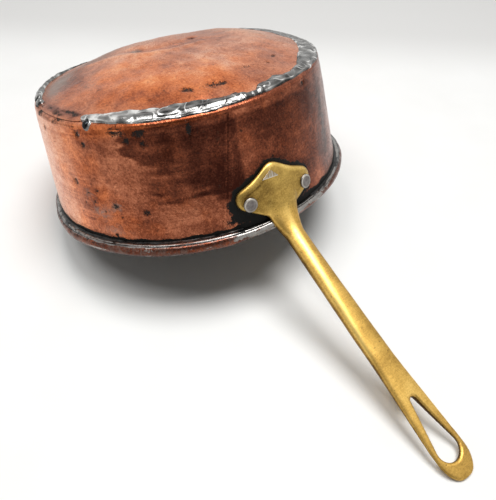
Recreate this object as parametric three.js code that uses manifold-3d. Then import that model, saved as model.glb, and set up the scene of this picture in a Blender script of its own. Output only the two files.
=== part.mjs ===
// An old copper saucepan with a riveted brass handle, lying upside down.
// It leans on the far side of its curled rim and on the tip of the handle.
// Units are millimetres. The table is z = 0 and the handle points along +X.
// Every piece is made in the pot's own frame first: the pot's axis is z, the flat land on its
// curled rim lies in z = 0 and its base is on top. The finished pot is then leaned over until
// the handle's tip is as low as the far side of the rim.
import * as THREE from 'three';
import { mergeVertices } from 'three/addons/utils/BufferGeometryUtils.js';
import Module from 'manifold-3d';

// Body
const MOUTH_RADIUS = 100;
const BASE_RADIUS = 92.5;
const HEIGHT = 77;
const WALL_THICKNESS = 1.5;
const BASE_THICKNESS = 1.3;
const CORNER_RADIUS = 3;
const FLANGE_WIDTH = 12;
const DISC_INSET = 5;
const DISC_RIM_WIDTH = 3;
const DOME_RISE = 14.5;

// Rolled seam of the wall, seen as a low step on the outside
const SEAM_ANGLE = THREE.MathUtils.degToRad(-15);
const SEAM_STEP = 0.5;
const SEAM_LAP = THREE.MathUtils.degToRad(7);
const SEAM_EDGE = THREE.MathUtils.degToRad(0.35);
const SEAM_BOTTOM = 10.8;

// Curled rim and its wire
const CURL_RADIUS = 3.6;
const CURL_CREVICE = 0.5;
const CURL_LAND = 1.6;
const FILLET_HEIGHT = 2.2;
const FILLET_SWELL = 0.7;
const FILLET_FROM = THREE.MathUtils.degToRad(75);
const FILLET_TO = THREE.MathUtils.degToRad(112);
const FILLET_GAP = THREE.MathUtils.degToRad(19);

// Solder round the base
const SOLDER_RISE = 1;
const SOLDER_REACH = 5.2;
const SOLDER_EDGE = 0.5;
const SOLDER_FEATHER = 0.3;
const SOLDER_FROM = THREE.MathUtils.degToRad(-66);
const SOLDER_GAP = THREE.MathUtils.degToRad(32);
const LUMP_ANGLE = THREE.MathUtils.degToRad(6);
const LUMP_SWELL = 0.7;

// Handle plate
const PLATE_THICKNESS = 3.6;
const PLATE_TOP = 40.5;
const PLATE_SHOULDER_HEIGHT = 23;
const PLATE_HALF_WIDTH = 26.2;
const PLATE_SHIFT = -1;
const PLATE_LOBE_RADIUS = 7.5;
const PLATE_CROWN_RADIUS = 8;
const PLATE_FOOT = 7.5;
const LOBE_UNDERSIDE = THREE.MathUtils.degToRad(-60);
const NECK_TOP = 15;

// Handle neck and grip
const NECK_OUT = 11;
const NECK_BELOW = 3.3;
const ROOT_DEPTH = 1.2;
const GRIP_LENGTH = 160;
const DROP_AT_NECK = THREE.MathUtils.degToRad(38.5);
const DROP_AT_END = THREE.MathUtils.degToRad(33.5);
const ROOT_HALF_WIDTH = 12;
const ROOT_HALF_THICKNESS = 4.2;
const NECK_HALF_WIDTH = 6.2;
const NECK_HALF_THICKNESS = 4.6;
const GRIP_HALF_WIDTH = 6.6;
const GRIP_HALF_THICKNESS = 4.4;
const MIDDLE_HALF_WIDTH = 7.6;
const MIDDLE_HALF_THICKNESS = 3.5;
const END_HALF_WIDTH = 10.7;
const END_HALF_THICKNESS = 1.6;
const END_ROUND = 13;
const TIP_HALF_WIDTH = 1.85;
const TIP_HALF_THICKNESS = 1.2;

// Teardrop hole that the pot hangs by
const HOLE_RADIUS = 7.3;
const HOLE_POINT_RADIUS = 1.8;
const HOLE_LENGTH = 38.5;
const HOLE_TO_TIP = 9.5;

// Rivets
const RIVET_SHANK_RADIUS = 2.6;
const RIVET_HEAD_RADIUS = 4.2;
const RIVET_HEAD_HEIGHT = 1.1;
const RIVET_HEAD_EDGE = 0.4;
const TOP_RIVET_HEAD_HEIGHT = 0.5;

// Places of the rivets: length round the wall from the handle's middle, and height
const LEFT_RIVET = { across: -20, level: 21 };
const RIGHT_RIVET = { across: 18.6, level: 20 };
const TOP_RIVET = { across: -5, level: 34 };

// Gap left between pieces that touch
const FIT = 0.3;

// Fineness of the curved faces
const TURN_STEPS = 64;
const CURL_STEP = THREE.MathUtils.degToRad(26);
const ENVELOPE_STEPS = 10;
const WIRE_SIDES = 6;
const CORNER_STEPS = 3;
const FILLET_STEPS = 3;
const DOME_STEPS = 6;
const PLATE_STEPS = 20;
const LOBE_STEPS = 10;
const HOLE_STEPS = 14;
const NECK_STEPS = 7;
const HANDLE_STEPS = 24;
const HANDLE_SIDES = 16;
const TIP_CROWDING = 1.5;
const RIVET_SIDES = 16;
const LEAN_TRIALS = 40;
const SAME_POINT = 1e-4;

const FULL_TURN = 2 * Math.PI;

// Heights and radii that several pieces share
const shoulderHeight = HEIGHT - CORNER_RADIUS;
const landAngle = Math.asin(CURL_LAND / 2 / CURL_RADIUS);
const curlLevel = CURL_RADIUS * Math.cos(landAngle);
const curlCentre = MOUTH_RADIUS - WALL_THICKNESS + CURL_RADIUS;

// Radius of the wall's outer face at a height above the rim's land
const taper = (MOUTH_RADIUS - BASE_RADIUS) / (shoulderHeight - curlLevel);
const wallRadius = (z) => MOUTH_RADIUS - taper * (z - curlLevel);

// The domed disc on the wall's flange, and the height of its upper face
const discRadius = BASE_RADIUS - DISC_INSET;
const domeRadius = discRadius - DISC_RIM_WIDTH;
const discTop = HEIGHT + FIT + BASE_THICKNESS;
const domeHeight = (r) => discTop + DOME_RISE * (1 - (r / domeRadius) ** 2);

// Points on a circular arc in a section: each point is [radius from the axis, height]
function arc(centreR, centreZ, radius, from, to, steps) {
  const points = [];
  for (let i = 0; i <= steps; i += 1) {
    const angle = from + ((to - from) * i) / steps;
    points.push([centreR + radius * Math.cos(angle), centreZ + radius * Math.sin(angle)]);
  }
  return points;
}

// Merge shared corners, drop empty triangles and turn all the faces outwards
function closedGeometry(positions, triangles) {
  const loose = new THREE.BufferGeometry();
  loose.setAttribute('position', new THREE.Float32BufferAttribute(positions, 3));
  loose.setIndex(triangles);
  const merged = mergeVertices(loose, SAME_POINT);
  const index = Array.from(merged.index.array);
  const kept = [];
  for (let i = 0; i < index.length; i += 3) {
    const [a, b, c] = index.slice(i, i + 3);
    if (a !== b && b !== c && c !== a) {
      kept.push(a, b, c);
    }
  }
  const at = (i) => new THREE.Vector3().fromBufferAttribute(merged.attributes.position, i);
  let volume = 0;
  for (let i = 0; i < kept.length; i += 3) {
    volume += at(kept[i]).dot(at(kept[i + 1]).cross(at(kept[i + 2])));
  }
  merged.setIndex(volume > 0 ? kept : kept.reverse());
  return merged;
}

// Skin over a row of rings that hold equally many points each
function skin(rings, joined) {
  const sides = rings[0].length;
  const positions = rings.flat(2);
  const triangles = [];
  const count = joined ? rings.length : rings.length - 1;
  for (let i = 0; i < count; i += 1) {
    const next = (i + 1) % rings.length;
    for (let j = 0; j < sides; j += 1) {
      const side = (j + 1) % sides;
      const a = i * sides + j;
      const b = next * sides + j;
      const c = next * sides + side;
      const d = i * sides + side;
      triangles.push(a, b, c, a, c, d);
    }
  }
  if (!joined) {
    const outline = rings[0].map((point) => flatten(point));
    const last = (rings.length - 1) * sides;
    const leftward = THREE.ShapeUtils.area(outline) > 0;
    for (const corners of THREE.ShapeUtils.triangulateShape(outline, [])) {
      const sameWay = THREE.ShapeUtils.area(corners.map((i) => outline[i])) > 0 === leftward;
      const [a, b, c] = sameWay ? corners : corners.reverse();
      triangles.push(a, b, c, last + a, last + c, last + b);
    }
  }
  return closedGeometry(positions, triangles);

  // The first ring as a flat outline, seen along its own plane
  function flatten(point) {
    const [origin, second] = rings[0].map((corner) => new THREE.Vector3(...corner));
    const across = second.clone().sub(origin).normalize();
    const far = new THREE.Vector3(...rings[0][Math.floor(sides / 2)]).sub(origin);
    const up = far.sub(across.clone().multiplyScalar(far.dot(across))).normalize();
    const offset = new THREE.Vector3(...point).sub(origin);
    return new THREE.Vector2(offset.dot(across), offset.dot(up));
  }
}

// Turn a section round the pot's axis through a list of angles
function turned(section, angles, joined, step = () => 0) {
  const rings = angles.map((angle) => section.map(([r, z, stepped]) => {
    const radius = stepped ? r + step(angle) : r;
    return [radius * Math.cos(angle), radius * Math.sin(angle), z];
  }));
  return skin(rings, joined);
}

function evenAngles(from, to, count) {
  return Array.from({ length: count }, (_, i) => from + ((to - from) * i) / count);
}

// Angles for a band that runs part of the way round, with both of its ends
function bandAngles(from, sweep) {
  const steps = Math.max(3, Math.round((TURN_STEPS * sweep) / FULL_TURN));
  return [...evenAngles(from, from + sweep, steps), from + sweep];
}

// Angles for a full turn, with the two edges of the seam's step added
function seamedAngles() {
  const edges = [SEAM_ANGLE, SEAM_ANGLE + SEAM_EDGE];
  const even = evenAngles(-Math.PI, Math.PI, TURN_STEPS);
  const clear = even.filter((angle) => edges.every((edge) => Math.abs(angle - edge) > SEAM_EDGE));
  return [...clear, ...edges].sort((a, b) => a - b);
}

// The sheet's end stands proud beside the seam, and is hammered thinner away from it
function seamStep(angle) {
  const past = angle - SEAM_ANGLE;
  if (past < SEAM_EDGE / 2 || past > SEAM_LAP) {
    return 0;
  }
  return SEAM_STEP * (1 - past / SEAM_LAP);
}

const wasm = await Module();
wasm.setup();

// A closed geometry as a solid that can be joined and cut
function toSolid(geometry) {
  const { position } = geometry.attributes;
  const corners = geometry.index ? geometry.index.array : Array(position.count).keys();
  const clean = closedGeometry(Array.from(position.array), Array.from(corners));
  return new wasm.Manifold(new wasm.Mesh({
    numProp: 3,
    vertProperties: new Float32Array(clean.attributes.position.array),
    triVerts: new Uint32Array(clean.index.array),
  }));
}

function toGeometry(solid) {
  const mesh = solid.getMesh();
  const geometry = new THREE.BufferGeometry();
  geometry.setAttribute('position', new THREE.BufferAttribute(mesh.vertProperties, 3));
  geometry.setIndex(new THREE.BufferAttribute(mesh.triVerts, 1));
  return geometry;
}

// Angle at which the curl's free end stops, just short of the wall
function curlEnd() {
  const reach = (WALL_THICKNESS + CURL_CREVICE - CURL_RADIUS) / CURL_RADIUS;
  return FULL_TURN + Math.acos(THREE.MathUtils.clamp(reach, -1, 1));
}

// Outside of the curl from the wall's inner face round to its free end, with the flat land
// that a lid sits on
function curlOutside() {
  const land = 1.5 * Math.PI;
  const stretch = (from, to) => {
    const steps = Math.max(2, Math.round((to - from) / CURL_STEP));
    return arc(curlCentre, curlLevel, CURL_RADIUS, from, to, steps);
  };
  return [...stretch(Math.PI, land - landAngle), ...stretch(land + landAngle, curlEnd())];
}

function curlInside() {
  const radius = CURL_RADIUS - WALL_THICKNESS;
  return arc(curlCentre, curlLevel, radius, curlEnd(), Math.PI, WIRE_SIDES);
}

function wallGeometry() {
  const flangeRadius = BASE_RADIUS - FLANGE_WIDTH;
  const corner = BASE_RADIUS - CORNER_RADIUS;
  const innerCorner = CORNER_RADIUS - WALL_THICKNESS;
  const section = [
    ...arc(corner, shoulderHeight, CORNER_RADIUS, 0, Math.PI / 2, CORNER_STEPS),
    [flangeRadius, HEIGHT],
    [flangeRadius, HEIGHT - WALL_THICKNESS],
    ...arc(corner, shoulderHeight, innerCorner, Math.PI / 2, 0, CORNER_STEPS),
    ...curlOutside(),
    ...curlInside(),
  ];
  const seamTop = shoulderHeight - SEAM_STEP;
  section.push([wallRadius(SEAM_BOTTOM), SEAM_BOTTOM, true]);
  section.push([wallRadius(seamTop), seamTop, true]);
  return turned(section, seamedAngles(), true, seamStep);
}

// Everything inside the wall's outer face and the curl, grown by a gap
function bodyEnvelope(gap) {
  const top = PLATE_TOP + PLATE_THICKNESS;
  const quarter = Math.PI / 2;
  const section = [
    [0, -gap],
    ...arc(curlCentre, curlLevel, CURL_RADIUS + gap, -quarter, quarter, ENVELOPE_STEPS),
    [wallRadius(SEAM_BOTTOM) + gap, SEAM_BOTTOM, true],
    [wallRadius(top) + gap, top, true],
    [0, top],
  ];
  return toSolid(turned(section, seamedAngles(), true, seamStep));
}

function discGeometry() {
  const upper = [];
  for (let i = 0; i <= DOME_STEPS; i += 1) {
    const r = (domeRadius * i) / DOME_STEPS;
    upper.push([r, domeHeight(r)]);
  }
  const lower = upper.map(([r, z]) => [r, z - BASE_THICKNESS]).reverse();
  const rim = [[discRadius, discTop], [discRadius, discTop - BASE_THICKNESS]];
  return turned([...upper, ...rim, ...lower], evenAngles(-Math.PI, Math.PI, TURN_STEPS), true);
}

// Band of solder over the disc's edge and the wall's flange
function solderGeometry(from, sweep, swell) {
  const inner = discRadius - SOLDER_REACH;
  const innerFoot = domeHeight(inner) + FIT;
  const outer = BASE_RADIUS - CORNER_RADIUS;
  const outerFoot = HEIGHT + FIT;
  const discFoot = discTop + FIT;
  const crest = discTop + SOLDER_RISE + swell;
  const section = [
    [inner, innerFoot],
    [domeRadius, discFoot],
    [discRadius + FIT, discFoot],
    [discRadius + FIT, outerFoot],
    [outer, outerFoot],
    [outer, outerFoot + SOLDER_EDGE + swell / 2],
    [discRadius + FIT, crest],
    [domeRadius, crest + FIT],
    [inner, innerFoot + SOLDER_FEATHER + swell / 2],
  ];
  return turned(section, bandAngles(from, sweep), false);
}

function wireGeometry() {
  const radius = CURL_RADIUS - WALL_THICKNESS - FIT;
  const section = arc(curlCentre, curlLevel, radius, 0, FULL_TURN, WIRE_SIDES).slice(1);
  return turned(section, evenAngles(-Math.PI, Math.PI, TURN_STEPS), true);
}

// Tin wiped into the crevice, left out where the handle's plate covers it
function filletGeometry() {
  const seat = CURL_RADIUS + FIT;
  const foot = 2 * CURL_RADIUS + FIT;
  const top = foot + FILLET_HEIGHT;
  const beside = (z) => wallRadius(z) + SEAM_STEP + FIT;
  const section = [
    ...arc(curlCentre, curlLevel, seat, FILLET_FROM, FILLET_TO, FILLET_STEPS),
    [beside(foot), foot],
    [beside(top), top],
    [beside(foot) + FIT + FILLET_SWELL, (foot + top) / 2],
  ];
  return turned(section, bandAngles(FILLET_GAP, FULL_TURN - 2 * FILLET_GAP), false);
}

// Outline of the handle's plate, seen along the handle: a kite with three rounded lobes. It is
// cast a little to the left of the handle's own middle.
function plateOutline() {
  const shape = new THREE.Shape();
  const side = PLATE_HALF_WIDTH - PLATE_LOBE_RADIUS;
  const crown = PLATE_TOP - PLATE_CROWN_RADIUS;
  const rise = crown - PLATE_SHOULDER_HEIGHT;
  const spread = Math.asin((PLATE_CROWN_RADIUS - PLATE_LOBE_RADIUS) / Math.hypot(side, rise));
  const right = Math.PI / 2 - Math.atan2(rise, side) - spread;
  const left = Math.PI - right;
  const level = PLATE_SHOULDER_HEIGHT;
  shape.moveTo(-NECK_HALF_WIDTH, PLATE_FOOT);
  shape.lineTo(NECK_HALF_WIDTH, PLATE_FOOT);
  shape.absarc(side, level, PLATE_LOBE_RADIUS, LOBE_UNDERSIDE, right, false);
  shape.absarc(0, crown, PLATE_CROWN_RADIUS, right, left, false);
  shape.absarc(-side, level, PLATE_LOBE_RADIUS, left, Math.PI - LOBE_UNDERSIDE, false);
  return shape;
}

function plateSolid() {
  const reach = Math.asin((PLATE_HALF_WIDTH - PLATE_SHIFT + PLATE_THICKNESS) / BASE_RADIUS);
  const low = PLATE_FOOT - FIT;
  const high = PLATE_TOP + FIT;
  const section = [low, high].map((z) => [wallRadius(z) - WALL_THICKNESS, z]);
  section.push(...[high, low].map((z) => [wallRadius(z) + FIT + PLATE_THICKNESS, z]));
  const shell = toSolid(turned(section, evenAngles(-reach, reach, PLATE_STEPS), false));
  const prism = new THREE.ExtrudeGeometry(plateOutline(), {
    depth: MOUTH_RADIUS,
    bevelEnabled: false,
    curveSegments: LOBE_STEPS,
  });
  prism.applyMatrix4(new THREE.Matrix4().makeBasis(
    new THREE.Vector3(0, 1, 0),
    new THREE.Vector3(0, 0, 1),
    new THREE.Vector3(1, 0, 0),
  ));
  prism.translate(MOUTH_RADIUS / 2, PLATE_SHIFT, 0);
  return shell.intersect(toSolid(prism));
}

// Middle line of the handle: over the curl in a bend, then out along the grip. Tangents a third
// as long as the neck's span make its bend an even one.
function handlePath() {
  const heading = (drop) => new THREE.Vector3(Math.cos(drop), 0, -Math.sin(drop));
  const root = new THREE.Vector3(wallRadius(NECK_TOP) + FIT + ROOT_DEPTH, 0, NECK_TOP);
  const neck = new THREE.Vector3(MOUTH_RADIUS + NECK_OUT, 0, -NECK_BELOW);
  const middle = neck.clone().addScaledVector(heading(DROP_AT_NECK), GRIP_LENGTH / 2);
  const end = middle.clone().addScaledVector(heading(DROP_AT_END), GRIP_LENGTH / 2);
  const bend = root.distanceTo(neck) / 3;
  return {
    neck: new THREE.CubicBezierCurve3(
      root,
      root.clone().add(new THREE.Vector3(0, 0, -bend)),
      neck.clone().addScaledVector(heading(DROP_AT_NECK), -bend),
      neck,
    ),
    grip: new THREE.QuadraticBezierCurve3(neck, middle, end),
  };
}

// Half width, half thickness and squareness of the handle at a share of its grip. Shares below
// zero are in the neck, down to -1 at the plate, and a squareness of 2 is an ellipse.
function handleSection(share) {
  const stations = [
    [-1, ROOT_HALF_WIDTH, ROOT_HALF_THICKNESS, 2.2],
    [0, NECK_HALF_WIDTH, NECK_HALF_THICKNESS, 2.2],
    [0.2, GRIP_HALF_WIDTH, GRIP_HALF_THICKNESS, 2.3],
    [0.55, MIDDLE_HALF_WIDTH, MIDDLE_HALF_THICKNESS, 2.6],
    [0.88, END_HALF_WIDTH, END_HALF_THICKNESS, 3.2],
    [1, END_HALF_WIDTH, END_HALF_THICKNESS, 3.2],
  ];
  const next = Math.max(1, stations.findIndex(([at]) => share <= at));
  const [from, to] = [stations[next - 1], stations[next]];
  const t = (share - from[0]) / (to[0] - from[0]);
  return from.slice(1).map((value, i) => THREE.MathUtils.lerp(value, to[i + 1], t));
}

// One ring of the handle's skin, drawn in to the tip's own size over the rounded end
function handleRing(curve, t, share) {
  const centre = curve.getPointAt(t);
  const along = curve.getTangentAt(t);
  const normal = new THREE.Vector3(-along.z, 0, along.x);
  const side = new THREE.Vector3(0, 1, 0);
  let [width, thickness, squareness] = handleSection(share);
  const toTip = share > 0 ? (1 - share) * GRIP_LENGTH : END_ROUND;
  if (toTip < END_ROUND) {
    const past = 1 - toTip / END_ROUND;
    width = TIP_HALF_WIDTH + (width - TIP_HALF_WIDTH) * Math.sqrt(1 - past ** 2);
    thickness = TIP_HALF_THICKNESS + (thickness - TIP_HALF_THICKNESS) * Math.sqrt(1 - past ** 4);
  }
  const bulge = (value) => Math.sign(value) * Math.abs(value) ** (2 / squareness);
  return Array.from({ length: HANDLE_SIDES }, (_, i) => {
    const angle = (FULL_TURN * i) / HANDLE_SIDES;
    const point = centre.clone();
    point.addScaledVector(side, width * bulge(Math.cos(angle)));
    point.addScaledVector(normal, thickness * bulge(Math.sin(angle)));
    return point.toArray();
  });
}

function gripSolid() {
  const { neck, grip } = handlePath();
  const rings = [];
  for (let i = 0; i < NECK_STEPS; i += 1) {
    rings.push(handleRing(neck, i / NECK_STEPS, i / NECK_STEPS - 1));
  }
  for (let i = 0; i <= HANDLE_STEPS; i += 1) {
    const share = 1 - (1 - i / HANDLE_STEPS) ** TIP_CROWDING;
    rings.push(handleRing(grip, share, share));
  }
  return toSolid(skin(rings, false));
}

// Teardrop prism through the end of the grip
function holeSolid() {
  const { grip } = handlePath();
  const roundAt = GRIP_LENGTH - HOLE_TO_TIP - HOLE_RADIUS;
  const pointAt = GRIP_LENGTH - HOLE_TO_TIP - HOLE_LENGTH + HOLE_POINT_RADIUS;
  const spread = Math.acos((HOLE_RADIUS - HOLE_POINT_RADIUS) / (roundAt - pointAt));
  const shape = new THREE.Shape();
  shape.absarc(0, 0, HOLE_RADIUS, -Math.PI + spread, Math.PI - spread, false);
  shape.absarc(pointAt - roundAt, 0, HOLE_POINT_RADIUS, Math.PI - spread, Math.PI + spread, false);
  const depth = 2 * (GRIP_HALF_THICKNESS + END_ROUND);
  const options = { depth, bevelEnabled: false, curveSegments: HOLE_STEPS };
  const prism = new THREE.ExtrudeGeometry(shape, options);
  prism.translate(0, 0, -depth / 2);
  const share = roundAt / GRIP_LENGTH;
  const along = grip.getTangentAt(share);
  const turn = new THREE.Matrix4().makeBasis(
    along,
    new THREE.Vector3(0, 1, 0),
    new THREE.Vector3().crossVectors(along, new THREE.Vector3(0, 1, 0)),
  );
  prism.applyMatrix4(turn.setPosition(grip.getPointAt(share)));
  return toSolid(prism);
}

// Each rivet with the height that its outer head stands proud
const rivets = {
  rivet_left: { ...LEFT_RIVET, head: RIVET_HEAD_HEIGHT },
  rivet_right: { ...RIGHT_RIVET, head: RIVET_HEAD_HEIGHT },
  rivet_top: { ...TOP_RIVET, head: TOP_RIVET_HEAD_HEIGHT },
};

// Turn a profile of [radius, distance from the wall's outer face] about a rivet's own axis
function rivetTurned(profile, { across, level }) {
  const points = profile.map(([r, t]) => new THREE.Vector2(r, t));
  const geometry = new THREE.LatheGeometry(points, RIVET_SIDES);
  geometry.rotateZ(-Math.PI / 2);
  geometry.rotateY(-Math.atan(taper));
  geometry.translate(wallRadius(level), 0, level);
  geometry.rotateZ(across / wallRadius(level));
  return toSolid(geometry);
}

function rivetSolid(place) {
  const seat = FIT + PLATE_THICKNESS + FIT;
  const inside = -WALL_THICKNESS - FIT;
  const rim = RIVET_HEAD_RADIUS - RIVET_HEAD_EDGE;
  return rivetTurned([
    [0, inside - RIVET_HEAD_HEIGHT],
    [rim, inside - RIVET_HEAD_HEIGHT],
    [RIVET_HEAD_RADIUS, inside - RIVET_HEAD_HEIGHT / 2],
    [RIVET_HEAD_RADIUS, inside],
    [RIVET_SHANK_RADIUS, inside],
    [RIVET_SHANK_RADIUS, seat],
    [RIVET_HEAD_RADIUS, seat],
    [RIVET_HEAD_RADIUS, seat + place.head / 2],
    [rim, seat + place.head],
    [0, seat + place.head],
  ], place);
}

// Drill for a rivet, long enough to pass both faces of the wall and plate
function rivetHole(place) {
  const radius = RIVET_SHANK_RADIUS + FIT / 2;
  const outside = 2 * (PLATE_THICKNESS + WALL_THICKNESS);
  const inside = -outside;
  return rivetTurned([[0, inside], [radius, inside], [radius, outside], [0, outside]], place);
}

const copper = new THREE.MeshStandardMaterial({ color: 0xa8573a, roughness: 0.35, metalness: 0.9 });
const baseCopper = new THREE.MeshStandardMaterial({ color: 0xb8683f, roughness: 0.4, metalness: 0.9 });
const brass = new THREE.MeshStandardMaterial({ color: 0xb8954f, roughness: 0.32, metalness: 0.9 });
const solder = new THREE.MeshStandardMaterial({ color: 0x8f8d8b, roughness: 0.35, metalness: 0.8 });
const tin = new THREE.MeshStandardMaterial({ color: 0xb4b2ae, roughness: 0.3, metalness: 0.85 });
const iron = new THREE.MeshStandardMaterial({ color: 0x4a4644, roughness: 0.6, metalness: 0.8 });
const rivetIron = new THREE.MeshStandardMaterial({ color: 0x8a8583, roughness: 0.4, metalness: 0.8 });

const pot = new THREE.Group();

function add(name, geometry, material) {
  const mesh = new THREE.Mesh(geometry, material);
  mesh.name = name;
  pot.add(mesh);
  return mesh;
}

const holes = Object.values(rivets).map(rivetHole);
const drilledWall = holes.reduce((solid, hole) => solid.subtract(hole), toSolid(wallGeometry()));
const wall = add('body_wall', toGeometry(drilledWall), copper);
add('base_disc', discGeometry(), baseCopper);

const seamSweep = FULL_TURN - SOLDER_GAP - LUMP_ANGLE - FIT / discRadius;
const lumpFrom = SOLDER_FROM - SOLDER_GAP - LUMP_ANGLE;
add('base_solder_seam', solderGeometry(SOLDER_FROM, seamSweep, 0), solder);
add('base_solder_lump', solderGeometry(lumpFrom, LUMP_ANGLE, LUMP_SWELL), solder);
add('rim_wire', wireGeometry(), iron);
add('rim_solder', filletGeometry(), tin);

const casting = plateSolid().add(gripSolid()).subtract(bodyEnvelope(FIT)).subtract(holeSolid());
const handleShape = holes.reduce((solid, hole) => solid.subtract(hole), casting);
const handle = add('handle', toGeometry(handleShape), brass);

for (const [name, place] of Object.entries(rivets)) {
  add(name, toGeometry(rivetSolid(place)), rivetIron);
}

// Lowest height of a piece once the pot leans over by an angle
function lowest(mesh, lean) {
  const position = mesh.geometry.attributes.position;
  let low = Infinity;
  for (let i = 0; i < position.count; i += 1) {
    low = Math.min(low, position.getX(i) * Math.sin(lean) + position.getZ(i) * Math.cos(lean));
  }
  return low;
}

// Lean the pot until the handle's tip is as low as the far side of the rim
function restingLean() {
  let [under, over] = [0, Math.PI / 3];
  for (let i = 0; i < LEAN_TRIALS; i += 1) {
    const lean = (under + over) / 2;
    if (lowest(handle, lean) < lowest(wall, lean)) {
      under = lean;
    } else {
      over = lean;
    }
  }
  return (under + over) / 2;
}

pot.rotation.y = -restingLean();
const model = new THREE.Group();
model.add(pot);
const box = new THREE.Box3().setFromObject(model, true);
const centre = box.getCenter(new THREE.Vector3());
pot.position.set(-centre.x, -centre.y, -box.min.z);

export default model;
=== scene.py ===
from math import acos, asin, atan, cos, pi, radians, sin, sqrt

import bmesh
import bpy
import numpy as np
from mathutils import Matrix, Vector


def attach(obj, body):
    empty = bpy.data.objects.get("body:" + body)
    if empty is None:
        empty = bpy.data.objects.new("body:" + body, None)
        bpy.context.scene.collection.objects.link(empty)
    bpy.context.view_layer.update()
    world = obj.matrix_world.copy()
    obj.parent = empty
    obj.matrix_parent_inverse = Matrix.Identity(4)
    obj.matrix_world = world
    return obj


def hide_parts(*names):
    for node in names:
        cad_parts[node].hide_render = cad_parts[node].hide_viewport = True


# An old copper saucepan with a riveted brass handle, lying upside down on a pale table.
# Lengths are millimetres in the pot's own frame, unless a name says otherwise: its axis is z,
# the land on its rim lies in z = 0, its base is on top and the handle points along x.
# Angles round the pot start at the handle.
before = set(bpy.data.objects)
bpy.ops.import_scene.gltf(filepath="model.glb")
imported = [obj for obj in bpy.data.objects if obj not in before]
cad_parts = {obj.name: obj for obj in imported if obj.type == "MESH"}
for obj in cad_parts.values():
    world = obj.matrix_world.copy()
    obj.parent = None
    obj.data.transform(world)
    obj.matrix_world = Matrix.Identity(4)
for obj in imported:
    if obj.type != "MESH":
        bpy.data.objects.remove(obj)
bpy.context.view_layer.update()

MM = 0.001
FULL_TURN = 2 * pi

# Body
MOUTH_RADIUS = 100
BASE_RADIUS = 92.5
HEIGHT = 77
WALL_THICKNESS = 1.5
BASE_THICKNESS = 1.3
CORNER_RADIUS = 3
FLANGE_WIDTH = 12
DISC_INSET = 5
DISC_RIM_WIDTH = 3
DOME_RISE = 14.5
FIT = 0.3

# Upright seam of the wall, which slants a little
SEAM_TOP_ANGLE = radians(-12.5)
SEAM_SLANT = radians(0.126)
SEAM_STEP = 0.5
SEAM_LAP = radians(7)
SEAM_EDGE = radians(0.35)
SEAM_BOTTOM = 10.8

# Curled rim
CURL_RADIUS = 3.6
CURL_CREVICE = 0.5
CURL_LAND = 1.6

# Handle plate
PLATE_THICKNESS = 3.6
PLATE_TOP = 40.5
PLATE_SHOULDER_HEIGHT = 23
PLATE_HALF_WIDTH = 26.2
PLATE_SHIFT = -1
PLATE_SLANT = -0.03
PLATE_LOBE_RADIUS = 7
PLATE_CROWN_RADIUS = 7
CROWN_SHIFT = -1.2
PLATE_FOOT = 7.5
PLATE_FOOT_HALF = 6.2
LOBE_UNDERSIDE = radians(-60)
FLANK_HOLLOW = 0.7
PLATE_BEVEL = 3
BEVEL_DROP = 1.7
BEVEL_SHARE = 0.55
NECK_TOP = 15

# Handle neck and grip
NECK_OUT = 11
NECK_BELOW = 3.3
ROOT_DEPTH = 1.2
GRIP_LENGTH = 160
DROP_AT_NECK = radians(38.5)
DROP_AT_END = radians(33.5)
END_ROUND = 13
TIP_HALF_WIDTH = 1.85
TIP_HALF_THICKNESS = 1.2

# Teardrop hole
HOLE_RADIUS = 7.3
HOLE_POINT_RADIUS = 1.8
HOLE_LENGTH = 38.5
HOLE_TO_TIP = 9.5

# Rivets
RIVET_SHANK_RADIUS = 2.6
RIVET_HEAD_RADIUS = 4.2
RIVET_HEAD_HEIGHT = 0.8
WORN_HEAD_HEIGHT = 0.35
RING_LIT = radians(120)

# Places of the rivets: length round the wall from the handle's middle, and height
LEFT_RIVET = (-20, 21.2)
RIGHT_RIVET = (18.8, 19.8)
TOP_RIVET = (-5, 34)

# Heights and radii that several pieces share
SHOULDER = HEIGHT - CORNER_RADIUS
LAND_ANGLE = asin(CURL_LAND / 2 / CURL_RADIUS)
CURL_LEVEL = CURL_RADIUS * cos(LAND_ANGLE)
CURL_CENTRE = MOUTH_RADIUS - WALL_THICKNESS + CURL_RADIUS
TAPER = (MOUTH_RADIUS - BASE_RADIUS) / (SHOULDER - CURL_LEVEL)
DISC_RADIUS = BASE_RADIUS - DISC_INSET
DOME_RADIUS = DISC_RADIUS - DISC_RIM_WIDTH
DISC_TOP = HEIGHT + FIT + BASE_THICKNESS
MEAN_RADIUS = (MOUTH_RADIUS + BASE_RADIUS) / 2
LAP = FULL_TURN * MEAN_RADIUS


def wall_radius(z):
    return MOUTH_RADIUS - TAPER * (z - CURL_LEVEL)


def dome_height(r):
    return DISC_TOP + DOME_RISE * (1 - np.minimum(r / DOME_RADIUS, 1) ** 2)


def node_centre(name):
    points = [vertex.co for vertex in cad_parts[name].data.vertices]
    return sum(points, Vector()) / len(points)


def pot_matrix():
    """The pot's own frame, found from the middles of the rim's wire and the base."""
    rim = node_centre("rim_wire")
    up = (node_centre("base_disc") - rim).normalized()
    side = Vector((0, 1, 0))
    matrix = Matrix((side.cross(up), side, up)).transposed().to_4x4()
    matrix.translation = rim - up * CURL_LEVEL * MM
    return matrix


POT = pot_matrix()


def smooth_step(value, low, high):
    t = np.clip((value - low) / (high - low), 0, 1)
    return t * t * (3 - 2 * t)


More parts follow.
